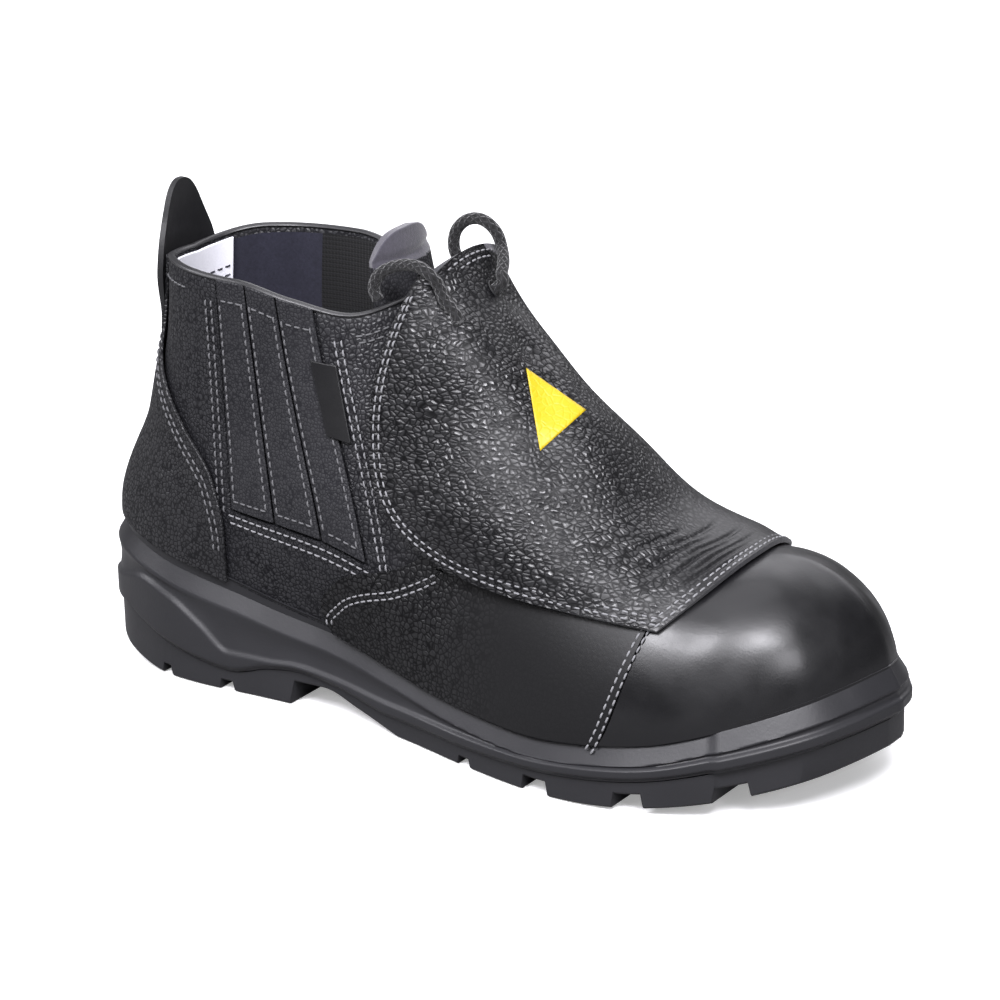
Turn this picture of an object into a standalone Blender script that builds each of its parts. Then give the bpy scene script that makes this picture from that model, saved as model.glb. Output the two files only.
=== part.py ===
"""Metatarsal guard boot: an elastic-sided safety boot for the right foot, with a leather
guard over the instep that is sewn at the toe cap and tied to the boot at its top.

+X points to the toe, +Y to the inner (medial) side, +Z up. The ground is z = 0, and the origin
is on the heel's tread. All sizes are in metres. Lengths along the boot are counted from the
back of the sole and are shifted to the origin when each solid is made.
"""

import math

import bmesh
import bpy
import numpy as np

# Driving dimensions
SOLE_LENGTH = 0.300
BALL_WIDTH = 0.108
SHAFT_HEIGHT = 0.146
CAP_HEIGHT = 0.0715
COLLAR_BACK = 0.030
COLLAR_FRONT = 0.126
COLLAR_HALF_WIDTH = 0.0355
UPPER_INSET = 0.0050
UPPER_WALL = 0.0022
LEATHER = 0.0013
GAP = 0.0003
FACET_ROOM = 0.0006
ORIGIN_ALONG = 0.050

# The sole
LIP_WRAP = 0.0075
LIP_BEVEL = 0.0042
SOLE_STEP = 0.0011
BUMPER_PROUD = 0.0014
BUMPER_START = 0.263
TREAD_INSET = 0.0022
HEEL_BREAST = 0.0895
TREAD_DEPTH = 0.0048
HEEL_BEVEL = 0.0065
TOE_SPRING = 0.0165
SPRING_START = 0.207
INSOLE_THICKNESS = 0.0035

# The overlays
SEAM_LOW = 0.224
SEAM_RIDGE = 0.2500
VAMP_THICKNESS = 0.0010
GORE_RECESS = 0.0012
STRIP_THICKNESS = 0.0011
STRIP_GAP = 0.0009
GUARD_THICKNESS = 0.0028
GUARD_CLEARANCE = 0.0034
GUARD_HUG = 0.35
GUARD_LIFT = 0.12
TONGUE_THICKNESS = 0.0040
TONGUE_TOP = 0.1635
TONGUE_HALF_WIDTH = 0.0215
PULL_TAB_TOP = 0.1665
PULL_TAB_HALF_WIDTH = 0.0150
PULL_TAB_THICKNESS = 0.0024
LACE_DIAMETER = 0.0040

# Moulded steps of the sole, and the channel along its forefoot
PARTING_INSET = 0.0016
PARTING_ROUND = 0.0014
WALL_INSET = 0.0006
CREASE_RUN = 0.0006
LIP_WIDTH = 0.0018
LIP_ROUND = 0.0004
BUMPER_RUN = 0.004
HEEL_BEVEL_RUN = 0.042
CHANNEL_HALF_WIDTH = 0.006
CHANNEL_START = 0.150
CHANNEL_STOP = 0.030
CHANNEL_SLOPE = 0.0015

# Plain tag in the gore's front seam and pale patch at the heel, as shares round and up
TAG_AROUND = (0.559, 0.583)
TAG_UP = (0.62, 0.86)
TAG_THICKNESS = 0.0009
PATCH_AROUND = 0.87
PATCH_UP = (0.74, 0.985)
PATCH_THICKNESS = 0.0008

# How the boot's surface swells and blends
SHOULDER_RUN = 0.040
SHOULDER_POWER = 2.2
OVAL_POWER = 2.25
INSTEP_BLEND = 0.024
WAIST_RISE = 0.050
WAIST_BULGE = 0.014
WAIST_BLEND = 0.008
REACH_LIMIT = 3.0
SPINE_BACK = 0.165
SPINE_FRONT = 0.80
SPINE_SETBACK = 0.020
BLEND_LEAST = 0.005
INSTEP_START = 0.20
INSTEP_RUN = 0.20
CHART_MARGIN = 0.030
CHART_STEP = 0.0015

# Outline of the sole seen from above. Along is a share of SOLE_LENGTH, the rest of BALL_WIDTH.
SOLE_PLAN = (
    ("along", "lateral", "medial"),
    (0.0065, 0.120, 0.120),
    (0.023, 0.204, 0.204),
    (0.059, 0.292, 0.290),
    (0.118, 0.361, 0.356),
    (0.183, 0.380, 0.370),
    (0.281, 0.364, 0.343),
    (0.379, 0.359, 0.301),
    (0.477, 0.402, 0.310),
    (0.575, 0.468, 0.368),
    (0.657, 0.509, 0.440),
    (0.722, 0.515, 0.489),
    (0.788, 0.491, 0.508),
    (0.853, 0.430, 0.489),
    (0.908, 0.340, 0.435),
    (0.954, 0.218, 0.339),
    (0.980, 0.085, 0.241),
    (0.993, -0.019, 0.174),
)
TOE_TIP_SIDE = 0.087

# Heights of the sole's side. Along is a share of SOLE_LENGTH, and heights are of SHAFT_HEIGHT:
# where tread and midsole part, the panel's crease or step line, and the lip against the upper.
SOLE_SIDE = (
    ("along", "parting", "crease", "lip"),
    (0.000, 0.130, 0.185, 0.355),
    (0.060, 0.130, 0.212, 0.343),
    (0.101, 0.112, 0.233, 0.330),
    (0.150, 0.082, 0.208, 0.312),
    (0.193, 0.064, 0.158, 0.296),
    (0.232, 0.054, 0.103, 0.279),
    (0.284, 0.080, 0.103, 0.252),
    (0.320, 0.088, 0.108, 0.236),
    (0.376, 0.074, 0.098, 0.214),
    (0.458, 0.046, 0.082, 0.179),
    (0.542, 0.047, 0.080, 0.152),
    (0.657, 0.054, 0.083, 0.139),
    (0.732, 0.064, 0.094, 0.150),
    (0.807, 0.082, 0.112, 0.171),
    (0.892, 0.122, 0.156, 0.222),
    (1.000, 0.178, 0.215, 0.292),
)

# Underside of the arch, from the heel's breast to the forefoot. Height is of SHAFT_HEIGHT.
ARCH = (
    ("along", "height"),
    (0.310, 0.058),
    (0.356, 0.060),
    (0.402, 0.034),
    (0.465, 0.000),
)

# Grooves across the tread: where each begins and ends, as shares of SOLE_LENGTH.
GROOVES = (
    ("start", "end", "depth"),
    (0.128, 0.142, 0.7),
    (0.214, 0.232, 0.7),
    (0.565, 0.582, 0.6),
    (0.660, 0.692, 1.0),
    (0.771, 0.803, 1.0),
    (0.873, 0.905, 1.0),
)

# Ridge of the upper's top, seen from the side. Along is of SOLE_LENGTH, height of CAP_HEIGHT.
RIDGE = (
    ("along", "height"),
    (0.00, 1.20),
    (0.38, 1.66),
    (0.44, 1.52),
    (0.51, 1.37),
    (0.59, 1.22),
    (0.68, 1.085),
    (0.76, 0.995),
    (0.82, 0.965),
    (0.86, 0.985),
    (0.90, 1.00),
    (1.00, 1.00),
)

# The shaft in level sections. Height is of SHAFT_HEIGHT. Back and front lie ahead of the
# collar's own back and front, as shares of the collar's length, and width is of its half width.
SHAFT = (
    ("height", "back", "front", "width"),
    (0.20, -0.245, 0.41, 1.015),
    (0.34, -0.240, 0.35, 1.030),
    (0.51, -0.160, 0.27, 1.015),
    (0.68, -0.089, 0.146, 0.972),
    (0.82, -0.030, 0.052, 0.972),
    (1.00, 0.000, 0.000, 1.000),
    (1.17, 0.010, -0.026, 1.015),
)

# Height of the collar's edge round the shaft, as a share of SHAFT_HEIGHT, by turn from the front.
COLLAR_RIM = (
    ("turn", "height"),
    (0.0, 0.985),
    (24.0, 0.965),
    (43.0, 0.948),
    (66.0, 0.972),
    (92.0, 1.000),
    (135.0, 1.000),
    (165.0, 0.985),
    (180.0, 0.980),
)

# How the leather runs from the sole to the ridge, and behind that to the collar. Around is the
# share of the way from toe to heel along the sole.
RIDGE_FLOW = (
    ("around", "ridge_along"),
    (0.00, 0.865),
    (0.10, 0.845),
    (0.22, 0.760),
    (0.36, 0.590),
    (0.50, 0.430),
)
COLLAR_FLOW = (
    ("around", "turn"),
    (0.50, 0.0),
    (0.569, 56.0),
    (0.655, 80.0),
    (0.739, 102.0),
    (0.86, 140.0),
    (1.00, 180.0),
)
THROAT_AROUND = 0.50
GORE_FRONT = 0.569
GORE_REAR = 0.739
GORE_FLOOR = 0.27
STRIPS = 3
STRIP_COLUMNS = 4
STEP_WALL = 0.002
COUNTER_EDGE = (
    ("up", "around"),
    (0.00, 0.744),
    (0.16, 0.744),
    (0.34, 0.758),
    (0.50, 0.805),
    (0.66, 0.870),
    (0.80, 0.915),
    (1.00, 0.925),
)
WING_EDGE = (
    ("up", "around"),
    (0.00, 0.622),
    (0.08, 0.632),
    (0.16, 0.612),
    (0.24, 0.560),
    (0.30, 0.490),
    (0.36, 0.430),
)

# The guard in sections from its seam to its top. Lengths are of SOLE_LENGTH, heights of
# SHAFT_HEIGHT, and the side is the half width at the guard's edge, of BALL_WIDTH.
GUARD = (
    ("share", "ridge_along", "ridge_height", "edge_along", "edge_height", "side"),
    (0.00, 0.842, 0.505, 0.797, 0.385, 0.360),
    (0.10, 0.800, 0.540, 0.745, 0.395, 0.380),
    (0.22, 0.740, 0.610, 0.680, 0.410, 0.392),
    (0.34, 0.685, 0.690, 0.610, 0.432, 0.392),
    (0.46, 0.634, 0.778, 0.530, 0.465, 0.380),
    (0.57, 0.594, 0.848, 0.466, 0.530, 0.352),
    (0.68, 0.558, 0.905, 0.436, 0.640, 0.318),
    (0.79, 0.525, 0.965, 0.430, 0.780, 0.285),
    (0.90, 0.498, 1.025, 0.445, 0.925, 0.240),
    (1.00, 0.480, 1.080, 0.470, 1.045, 0.170),
)

# The lace's two arcs over the guard's top edge, each from the tongue to its hole in the guard.
# Points are chosen by hand, counted from the back of the sole.
LACE_LATERAL = (
    (0.1259, -0.0234, 0.1445),
    (0.1241, -0.0230, 0.1481),
    (0.1256, -0.0226, 0.1523),
    (0.1297, -0.0220, 0.1554),
    (0.1354, -0.0216, 0.1572),
    (0.1412, -0.0215, 0.1573),
    (0.1459, -0.0216, 0.1551),
    (0.1479, -0.0203, 0.1517),
    (0.1501, -0.0206, 0.1474),
    (0.1535, -0.0202, 0.1441),
    (0.1547, -0.0205, 0.1422),
    (0.1545, -0.0199, 0.1401),
)
LACE_MEDIAL = (
    (0.1333, 0.0120, 0.1489),
    (0.1314, 0.0120, 0.1544),
    (0.1324, 0.0120, 0.1597),
    (0.1362, 0.0120, 0.1637),
    (0.1410, 0.0120, 0.1652),
    (0.1453, 0.0120, 0.1642),
    (0.1484, 0.0125, 0.1610),
    (0.1504, 0.0120, 0.1568),
    (0.1538, 0.0080, 0.1536),
    (0.1562, 0.0033, 0.1509),
    (0.1574, 0.0022, 0.1497),
    (0.1571, 0.0014, 0.1478),
)

# Mesh fineness
AROUND_STEPS = 36
UP_STEPS = 10
SOLE_STEPS = 48
PLAN_SAMPLES = 120


def read(table, name, at):
    """A column of a table at the given places of its first column, by a monotone cubic."""
    names, *rows = table
    data = np.array(rows, float)
    x, y = data[:, 0], data[:, names.index(name)]
    step, slope = np.diff(x), np.diff(y) / np.diff(x)
    tangent = np.zeros(len(x))
    same = slope[:-1] * slope[1:] > 0
    w1, w2 = 2 * step[1:] + step[:-1], step[1:] + 2 * step[:-1]
    safe = np.where(same, slope[:-1], 1.0), np.where(same, slope[1:], 1.0)
    tangent[1:-1] = np.where(same, (w1 + w2) / (w1 / safe[0] + w2 / safe[1]), 0.0)
    tangent[0], tangent[-1] = slope[0], slope[-1]
    at = np.clip(np.asarray(at, float), x[0], x[-1])
    i = np.clip(np.searchsorted(x, at) - 1, 0, len(x) - 2)
    u = (at - x[i]) / step[i]
    return (
        (2 * u**3 - 3 * u**2 + 1) * y[i]
        + (u**3 - 2 * u**2 + u) * step[i] * tangent[i]
        + (3 * u**2 - 2 * u**3) * y[i + 1]
        + (u**3 - u**2) * step[i] * tangent[i + 1]
    )


def smooth_curve(points, samples):
    """Even samples of a smooth open curve through the points."""
    p = np.array(points, float)
    p = np.vstack([2 * p[0] - p[1], p, 2 * p[-1] - p[-2]])
    u = np.linspace(0, 1, 24, endpoint=False)[:, None]
    pieces = []
    for a, b, c, d in zip(p[:-3], p[1:-2], p[2:-1], p[3:]):
        pieces.append(
            b
            + 0.5 * u * (c - a)
            + u**2 * (a - 2.5 * b + 2 * c - 0.5 * d)
            + u**3 * (1.5 * (b - c) + 0.5 * (d - a))
        )
    dense = np.vstack(pieces + [p[-2:-1]])
    return resample(dense, samples)


def resample(line, samples):
    run = np.r_[0, np.cumsum(np.linalg.norm(np.diff(line, axis=0), axis=1))]
    at = np.linspace(0, run[-1], samples)
    return np.stack([np.interp(at, run, line[:, k]) for k in range(line.shape[1])], axis=1)


def half_plan(side, samples):
    """The sole's outline from the toe's tip to the heel's back along one side."""
    data = np.array(SOLE_PLAN[1:], float)
    sign = -1 if side == "lateral" else 1
    width = data[:, SOLE_PLAN[0].index(side)] * BALL_WIDTH
    points = np.c_[data[:, 0] * SOLE_LENGTH, sign * width]
    tip = [(SOLE_LENGTH, TOE_TIP_SIDE * BALL_WIDTH)]
    mirrored = np.c_[points[:2, 0], -sign * width[:2]]
    across = np.vstack([mirrored[::-1][:1], [(0.0, 0.0)], points, tip])
    curve = smooth_curve(across, 8 * samples)
    start = np.argmin(np.abs(curve[: 2 * samples, 1]) + curve[: 2 * samples, 0])
    return resample(curve[start:][::-1], samples)


def plan_loop(steps):
    """The whole outline as a loop: toe, lateral side, heel, medial side."""
    lateral, medial = half_plan("lateral", steps + 1), half_plan("medial", steps + 1)
    return np.vstack([lateral, medial[1:-1][::-1]])


def outward(loop):
    ahead = np.roll(loop, -1, axis=0) - np.roll(loop, 1, axis=0)
    normal = np.c_[ahead[:, 1], -ahead[:, 0]]
    normal /= np.linalg.norm(normal, axis=1)[:, None]
    centre = np.array([SOLE_LENGTH / 2, 0.0])
    facing = np.sign(np.sum((loop - centre) * normal))
    return normal * facing


def inset(loop, by):
    return loop - outward(loop) * np.reshape(by, (-1, 1))


PLAN = plan_loop(PLAN_SAMPLES)
UPPER_PLAN = inset(PLAN, UPPER_INSET)


def measure_inside(x, y):
    """How far each point lies inside the upper's own outline in plan. Outside is negative."""
    ends = np.roll(UPPER_PLAN, -1, axis=0)
    reach = ends - UPPER_PLAN
    dx, dy = x[:, None] - UPPER_PLAN[:, 0], y[:, None] - UPPER_PLAN[:, 1]
    share = (dx * reach[:, 0] + dy * reach[:, 1]) / np.sum(reach**2, axis=1)
    share = np.clip(share, 0, 1)
    away = np.sqrt(((dx - share * reach[:, 0]) ** 2 + (dy - share * reach[:, 1]) ** 2).min(axis=1))
    straddles = (UPPER_PLAN[:, 1] > y[:, None]) != (ends[:, 1] > y[:, None])
    rise = np.where(reach[:, 1] == 0, 1.0, reach[:, 1])
    crossings = (straddles & (dx < dy / rise * reach[:, 0])).sum(axis=1)
    return away * np.where(crossings % 2 == 1, 1, -1)


def chart_inside():
    """The same measure on a square chart round the sole, to be read between its places."""
    along = np.arange(-CHART_MARGIN, SOLE_LENGTH + CHART_MARGIN, CHART_STEP)
    side = np.arange(-BALL_WIDTH, BALL_WIDTH, CHART_STEP)
    rows = [measure_inside(np.full(side.shape, x), side) for x in along]
    return along, side, np.array(rows)


CHART = chart_inside()


def inside_by(x, y):
    along, side, chart = CHART
    u = np.clip((x - along[0]) / CHART_STEP, 0, len(along) - 1.001)
    v = np.clip((y - side[0]) / CHART_STEP, 0, len(side) - 1.001)
    i, j = u.astype(int), v.astype(int)
    u, v = u - i, v - j
    near = chart[i, j] * (1 - v) + chart[i, j + 1] * v
    return near * (1 - u) + (chart[i + 1, j] * (1 - v) + chart[i + 1, j + 1] * v) * u


def sole_height(name, x):
    return read(SOLE_SIDE, name, np.asarray(x) / SOLE_LENGTH) * SHAFT_HEIGHT


def ledge_height(x):
    """Where the upper's lower edge stands inside the lip."""
    return sole_height("lip", x) - LIP_WRAP


def smooth_min(a, b, k):
    near = np.maximum(k - np.abs(a - b), 0) / k
    return np.minimum(a, b) - near**2 * k / 4


def last(p):
    """Roughly the distance outside the boot's outer surface, negative inside.

    The foot rises from the sole's outline over a rounded shoulder to the ridge. The shaft is a
    stack of level ovals. They blend at the instep, and the sole's outline holds the waist in.
    """
    x, y, z = p[..., 0], p[..., 1], p[..., 2]
    inward = inside_by(x, y)
    foot_start = ledge_height(x)
    shoulder = SHOULDER_RUN
    ridge = read(RIDGE, "height", x / SOLE_LENGTH) * CAP_HEIGHT
    across = np.maximum(1 - inward / shoulder, 0)
    rise = np.maximum(z - foot_start, 0) / (ridge - foot_start)
    foot = ((across**SHOULDER_POWER + rise**SHOULDER_POWER) ** (1 / SHOULDER_POWER) - 1) * shoulder

    level = z / SHAFT_HEIGHT
    length = COLLAR_FRONT - COLLAR_BACK
    back = COLLAR_BACK + read(SHAFT, "back", level) * length
    front = COLLAR_FRONT + read(SHAFT, "front", level) * length
    width = read(SHAFT, "width", level) * COLLAR_HALF_WIDTH
    middle = (back + front) / 2
    oval = np.abs((x - middle) / (front - middle)) ** OVAL_POWER
    oval = (oval + np.abs(y / width) ** OVAL_POWER) ** (1 / OVAL_POWER)
    shaft = (oval - 1) * COLLAR_HALF_WIDTH

    toward_instep = np.clip((x / SOLE_LENGTH - INSTEP_START) / INSTEP_RUN, 0, 1)
    blend = BLEND_LEAST + INSTEP_BLEND * toward_instep**2 * (3 - 2 * toward_instep)
    body = smooth_min(foot, shaft, blend)
    lifted = np.clip((z - foot_start) / WAIST_RISE, 0, 1)
    outline = -inward - WAIST_BULGE * lifted**1.5
    return -smooth_min(-body, -outline, 0.001 + WAIST_BLEND * lifted)


def reach_surface(origin, direction, offset=0.0):
    """Where rays from inside the boot meet its outer surface, moved out by the offset."""
    near = np.full(direction.shape[:-1], 0.05)
    far = np.full(direction.shape[:-1], REACH_LIMIT)
    for _ in range(20):
        middle = (near + far) / 2
        out = last(origin + middle[..., None] * direction) > offset
        far = np.where(out, middle, far)
        near = np.where(out, near, middle)
    return origin + ((near + far) / 2)[..., None] * direction


def surface_normal(p):
    step = 0.0006
    gradient = []
    for axis in np.eye(3):
        gradient.append(last(p + axis * step) - last(p - axis * step))
    normal = np.stack(gradient, axis=-1)
    return normal / np.linalg.norm(normal, axis=-1)[..., None]


def centre_line(x):
    """Middle of the upper's outline at each place along the boot."""
    share = np.clip(np.asarray(x, float) / SOLE_LENGTH, 0, 0.90)
    medial, lateral = read(SOLE_PLAN, "medial", share), read(SOLE_PLAN, "lateral", share)
    return (medial - lateral) / 2 * BALL_WIDTH * np.clip((share - 0.5) / 0.2, 0, 1)


def foot_of(side, around):
    """Points of the upper's lower edge, at shares of the way from toe to heel."""
    fine = half_plan(side, PLAN_SAMPLES + 1)
    loop = inset_half(fine, side, UPPER_INSET)
    index = around * PLAN_SAMPLES
    x = np.interp(index, np.arange(len(loop)), loop[:, 0])
    y = np.interp(index, np.arange(len(loop)), loop[:, 1])
    return np.stack([x, y, ledge_height(x) + GAP + FACET_ROOM], axis=-1)


def inset_half(half, side, by):
    ahead = np.gradient(half, axis=0)
    sign = 1 if side == "lateral" else -1
    normal = np.c_[-ahead[:, 1], ahead[:, 0]] * sign
    normal /= np.linalg.norm(normal, axis=1)[:, None]
    normal[0], normal[-1] = (1.0, 0.0), (-1.0, 0.0)
    return half - normal * by


def top_of(side, around):
    """Where the leather's run from each place on the sole ends: on the ridge or the collar."""
    sign = -1 if side == "lateral" else 1
    along = read(RIDGE_FLOW, "ridge_along", around) * SOLE_LENGTH
    low = np.stack([along, centre_line(along), np.full(along.shape, 0.030)], axis=-1)
    up = np.zeros(low.shape)
    up[..., 2] = 0.06
    ridge = reach_surface(low, up)
    turn = np.radians(read(COLLAR_FLOW, "turn", around))
    height = read(COLLAR_RIM, "height", np.degrees(turn)) * SHAFT_HEIGHT
    middle = np.full(turn.shape, (COLLAR_FRONT + COLLAR_BACK) / 2)
    axis = np.stack([middle, 0 * turn, height], axis=-1)
    half_length = (COLLAR_FRONT - COLLAR_BACK) / 2
    outward_way = np.stack(
        [half_length * np.cos(turn), sign * COLLAR_HALF_WIDTH * np.sin(turn), 0 * turn], axis=-1
    )
    collar = reach_surface(axis, outward_way)
    return np.where((around >= THROAT_AROUND)[..., None], collar, ridge)


def leather(side, around, up, offset=0.0):
    """Points of the boot's outer surface. Up runs from the sole's lip edge to ridge or collar."""
    around, up = np.broadcast_arrays(np.asarray(around, float), np.asarray(up, float))
    foot, top = foot_of(side, around), top_of(side, around)
    base_x = np.minimum(foot[..., 0], top[..., 0] - SPINE_SETBACK)
    base_x = np.clip(base_x, SPINE_BACK * SOLE_LENGTH, SPINE_FRONT * SOLE_LENGTH)
    base = np.stack([base_x, centre_line(base_x), foot[..., 2]], axis=-1)
    target = foot + up[..., None] * (top - foot)
    p = reach_surface(base, target - base)
    return p + surface_normal(p) * np.reshape(offset, np.shape(offset) + (1,) * (np.ndim(offset) > 0))


def material(name, colour, roughness):
    made = bpy.data.materials.get(name) or bpy.data.materials.new(name)
    made.use_nodes = True
    shader = made.node_tree.nodes["Principled BSDF"]
    shader.inputs["Base Color"].default_value = (*colour, 1.0)
    shader.inputs["Roughness"].default_value = roughness
    shader.inputs["Metallic"].default_value = 0.0
    return made


def add_solid(name, points, faces, look):
    """One closed mesh object, with doubled points welded and its faces pointing out."""
    points = np.array(points, float) - (ORIGIN_ALONG, 0, 0)
    mesh = bpy.data.meshes.new(name)
    mesh.from_pydata([tuple(p) for p in points], [], [tuple(f) for f in faces])
    made = bpy.data.objects.new(name, mesh)
    bpy.context.scene.collection.objects.link(made)
    made.data.materials.append(look)
    tidy(mesh)
    return made


def tidy(mesh):
    work = bmesh.new()
    work.from_mesh(mesh)
    bmesh.ops.remove_doubles(work, verts=work.verts, dist=1e-6)
    bmesh.ops.dissolve_degenerate(work, edges=work.edges, dist=1e-6)
    bmesh.ops.recalc_face_normals(work, faces=work.faces)
    if work.calc_volume(signed=True) < 0:
        bmesh.ops.reverse_faces(work, faces=work.faces)
    work.to_mesh(mesh)
    work.free()
    mesh.shade_smooth()
    mesh.set_sharp_from_angle(angle=math.radians(35))


def easing(count):
    """Shares from 0 to 1 whose steps get closer toward 1."""
    even = np.linspace(0, 1, count)
    return even + 0.15 * np.sin(np.pi * even)


def grid_faces(rows, columns, start=0, closed=False):
    """Quads between the rows of a grid of points, joined round where it is closed."""
    faces = []
    for r in range(rows - 1):
        for c in range(columns if closed else columns - 1):
            d = (c + 1) % columns
            a, b = start + r * columns, start + (r + 1) * columns
            faces.append((a + c, a + d, b + d, b + c))
    return faces


def plate(outer, inner, folded=False):
    """Points and faces of a plate between two grids. A folded one's last row meets itself."""
    rows, columns = outer.shape[:2]
    loops = np.concatenate([outer, inner[:, ::-1]], axis=1)
    width = 2 * columns
    faces = grid_faces(rows, width, closed=True)
    for r in (0,) if folded else (0, rows - 1):
        for c in range(columns - 1):
            a = r * width
            faces.append((a + c, a + c + 1, a + width - 2 - c, a + width - 1 - c))
    return loops.reshape(-1, 3), faces


def lip_edge(loop_xy):
    """Where the lip's top meets the upper: the boot's surface at the lip's height."""
    base_x = np.clip(loop_xy[:, 0], SPINE_BACK * SOLE_LENGTH, SPINE_FRONT * SOLE_LENGTH)
    height = sole_height("lip", loop_xy[:, 0])
    for _ in range(2):
        base = np.stack([base_x, centre_line(base_x), height], axis=-1)
        edge = reach_surface(base, np.c_[loop_xy, height] - base)
        height = sole_height("lip", edge[:, 0])
    return edge


def bumper_share(loop):
    """One on the toe's raised bumper, with its slanting end at BUMPER_START."""
    return np.clip((loop[:, 0] - BUMPER_START) / BUMPER_RUN, 0, 1)


def make_midsole(look):
    plan = plan_loop(SOLE_STEPS)
    x = plan[:, 0]
    parting, crease = sole_height("parting", x), sole_height("crease", x)
    edge = lip_edge(inset(plan, UPPER_INSET))
    lip = edge[:, 2]
    bevel = lip - LIP_BEVEL
    proud = BUMPER_PROUD * bumper_share(plan)
    way = outward(edge[:, :2])
    under_foot = inset(plan, UPPER_INSET)
    ledge_side = under_foot + outward(under_foot) * GAP
    floor_side = inset(under_foot, UPPER_WALL + 3 * GAP)
    rings = [
        (inset(plan, PARTING_INSET - proud), parting),
        (inset(plan, PARTING_INSET / 4 - proud), parting + PARTING_ROUND),
        (inset(plan, -proud), crease - CREASE_RUN),
        (inset(plan, SOLE_STEP - proud), crease + CREASE_RUN),
        (inset(plan, WALL_INSET - proud), bevel),
        (edge[:, :2] + way * LIP_WIDTH, lip - LIP_ROUND),
        (edge[:, :2] + way * (GAP + FACET_ROOM), lip),
        (ledge_side, ledge_height(ledge_side[:, 0])),
        (floor_side, ledge_height(floor_side[:, 0])),
    ]
    grid = np.array([np.c_[ring, height] for ring, height in rings])
    count = grid.shape[1]
    points = list(grid.reshape(-1, 3))
    faces = grid_faces(len(rings), count, closed=True)
    points, faces = cap_across(points, faces, (len(rings) - 1) * count, count)
    points, faces = cap_across(points, faces, 0, count)
    return add_solid("midsole", points, faces, look)


def cap_across(points, faces, start, count):
    """Closes a loop of the sole with strips from its lateral to its medial side."""
    for k in range(count // 2):
        a, b = start + k, start + k + 1
        c, d = start + (count - k - 1) % count, start + (count - k) % count
        ring = list(dict.fromkeys((a, b, c, d)))
        faces.append(tuple(ring))
    return points, faces


def make_insole(look):
    plan = plan_loop(SOLE_STEPS)
    under_foot = inset(plan, UPPER_INSET + UPPER_WALL + 4 * GAP)
    low = ledge_height(under_foot[:, 0]) + GAP + FACET_ROOM
    rings = [(under_foot, low), (under_foot, low + INSOLE_THICKNESS)]
    grid = np.array([np.c_[ring, height] for ring, height in rings])
    count = grid.shape[1]
    points = list(grid.reshape(-1, 3))
    faces = grid_faces(2, count, closed=True)
    points, faces = cap_across(points, faces, count, count)
    points, faces = cap_across(points, faces, 0, count)
    return add_solid("insole", points, faces, look)


def tread_bottom(x):
    """Height of the tread's lowest surface along the boot: heel, arch, ball and toe spring."""
    share = x / SOLE_LENGTH
    bevel = HEEL_BEVEL * np.clip(1 - x / HEEL_BEVEL_RUN, 0, 1) ** 1.6
    arch = read(ARCH, "height", share) * SHAFT_HEIGHT
    arch = np.where(share < ARCH[1][0], 0.0, arch)
    spring_run = SOLE_LENGTH - SPRING_START
    spring = TOE_SPRING * np.clip((x - SPRING_START) / spring_run, 0, None) ** 2
    return bevel + arch + spring


def tread_stations():
    """Places along the sole, with two close ones at each end of a groove and at the breast."""
    ends = [0.0012, 0.003, 0.006, 0.010, 0.015, 0.021, 0.028]
    stations = set(ends) | {SOLE_LENGTH - e for e in ends[1:]} | {SOLE_LENGTH - 0.0016}
    stations |= {round(x, 5) for x in np.arange(0.034, SOLE_LENGTH - 0.034, 0.0115)}
    fine = 0.0005
    walls = [HEEL_BREAST]
    for start, end, _ in GROOVES[1:]:
        walls += [start * SOLE_LENGTH, end * SOLE_LENGTH]
    for wall in walls:
        stations = {x for x in stations if abs(x - wall) > 0.004}
    for wall in walls:
        stations |= {wall - fine, wall + fine}
    return np.array(sorted(stations))


def groove_depth(x):
    depth = np.zeros(x.shape)
    for start, end, share in GROOVES[1:]:
        inside = (x > start * SOLE_LENGTH) & (x < end * SOLE_LENGTH)
        depth = np.where(inside, share * TREAD_DEPTH, depth)
    return depth


def plan_width(side, x):
    half = half_plan(side, 4 * PLAN_SAMPLES)
    order = np.argsort(half[:, 0])
    return np.interp(x, half[order, 0], half[order, 1])


def make_outsole(look):
    """Tread in sections along the boot, each a loop: top edge to edge, then the bottom back."""
    x = tread_stations()
    lateral = plan_width("lateral", x) + TREAD_INSET
    medial = plan_width("medial", x) - TREAD_INSET
    middle = (lateral + medial) / 2
    thin = (medial - lateral) < 0.006
    lateral, medial = np.where(thin, middle - 0.003, lateral), np.where(thin, middle + 0.003, medial)
    top = sole_height("parting", x) - GAP - FACET_ROOM
    low = tread_bottom(x)
    groove = np.minimum(groove_depth(x), top - low - 0.0012)
    ahead = x > HEEL_BREAST
    channel = np.where(ahead & (x < SOLE_LENGTH - CHANNEL_STOP) & (x > CHANNEL_START), TREAD_DEPTH * 0.7, 0.0)
    half = np.minimum(CHANNEL_HALF_WIDTH, (medial - lateral) / 6)
    across = [
        (lateral, top),
        (medial, top),
        (medial, low + groove),
        (middle + half + CHANNEL_SLOPE, low + groove),
        (middle + half, low + np.maximum(groove, channel)),
        (middle - half, low + np.maximum(groove, channel)),
        (middle - half - CHANNEL_SLOPE, low + groove),
        (lateral, low + groove),
    ]
    sections = np.stack([np.stack([x, y, z], axis=-1) for y, z in across], axis=1)
    rows, columns = sections.shape[:2]
    faces = grid_faces(rows, columns, closed=True)
    faces.append(tuple(range(columns)))
    faces.append(tuple((rows - 1) * columns + c for c in range(columns)))
    return add_solid("outsole", sections.reshape(-1, 3), faces, look)


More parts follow.
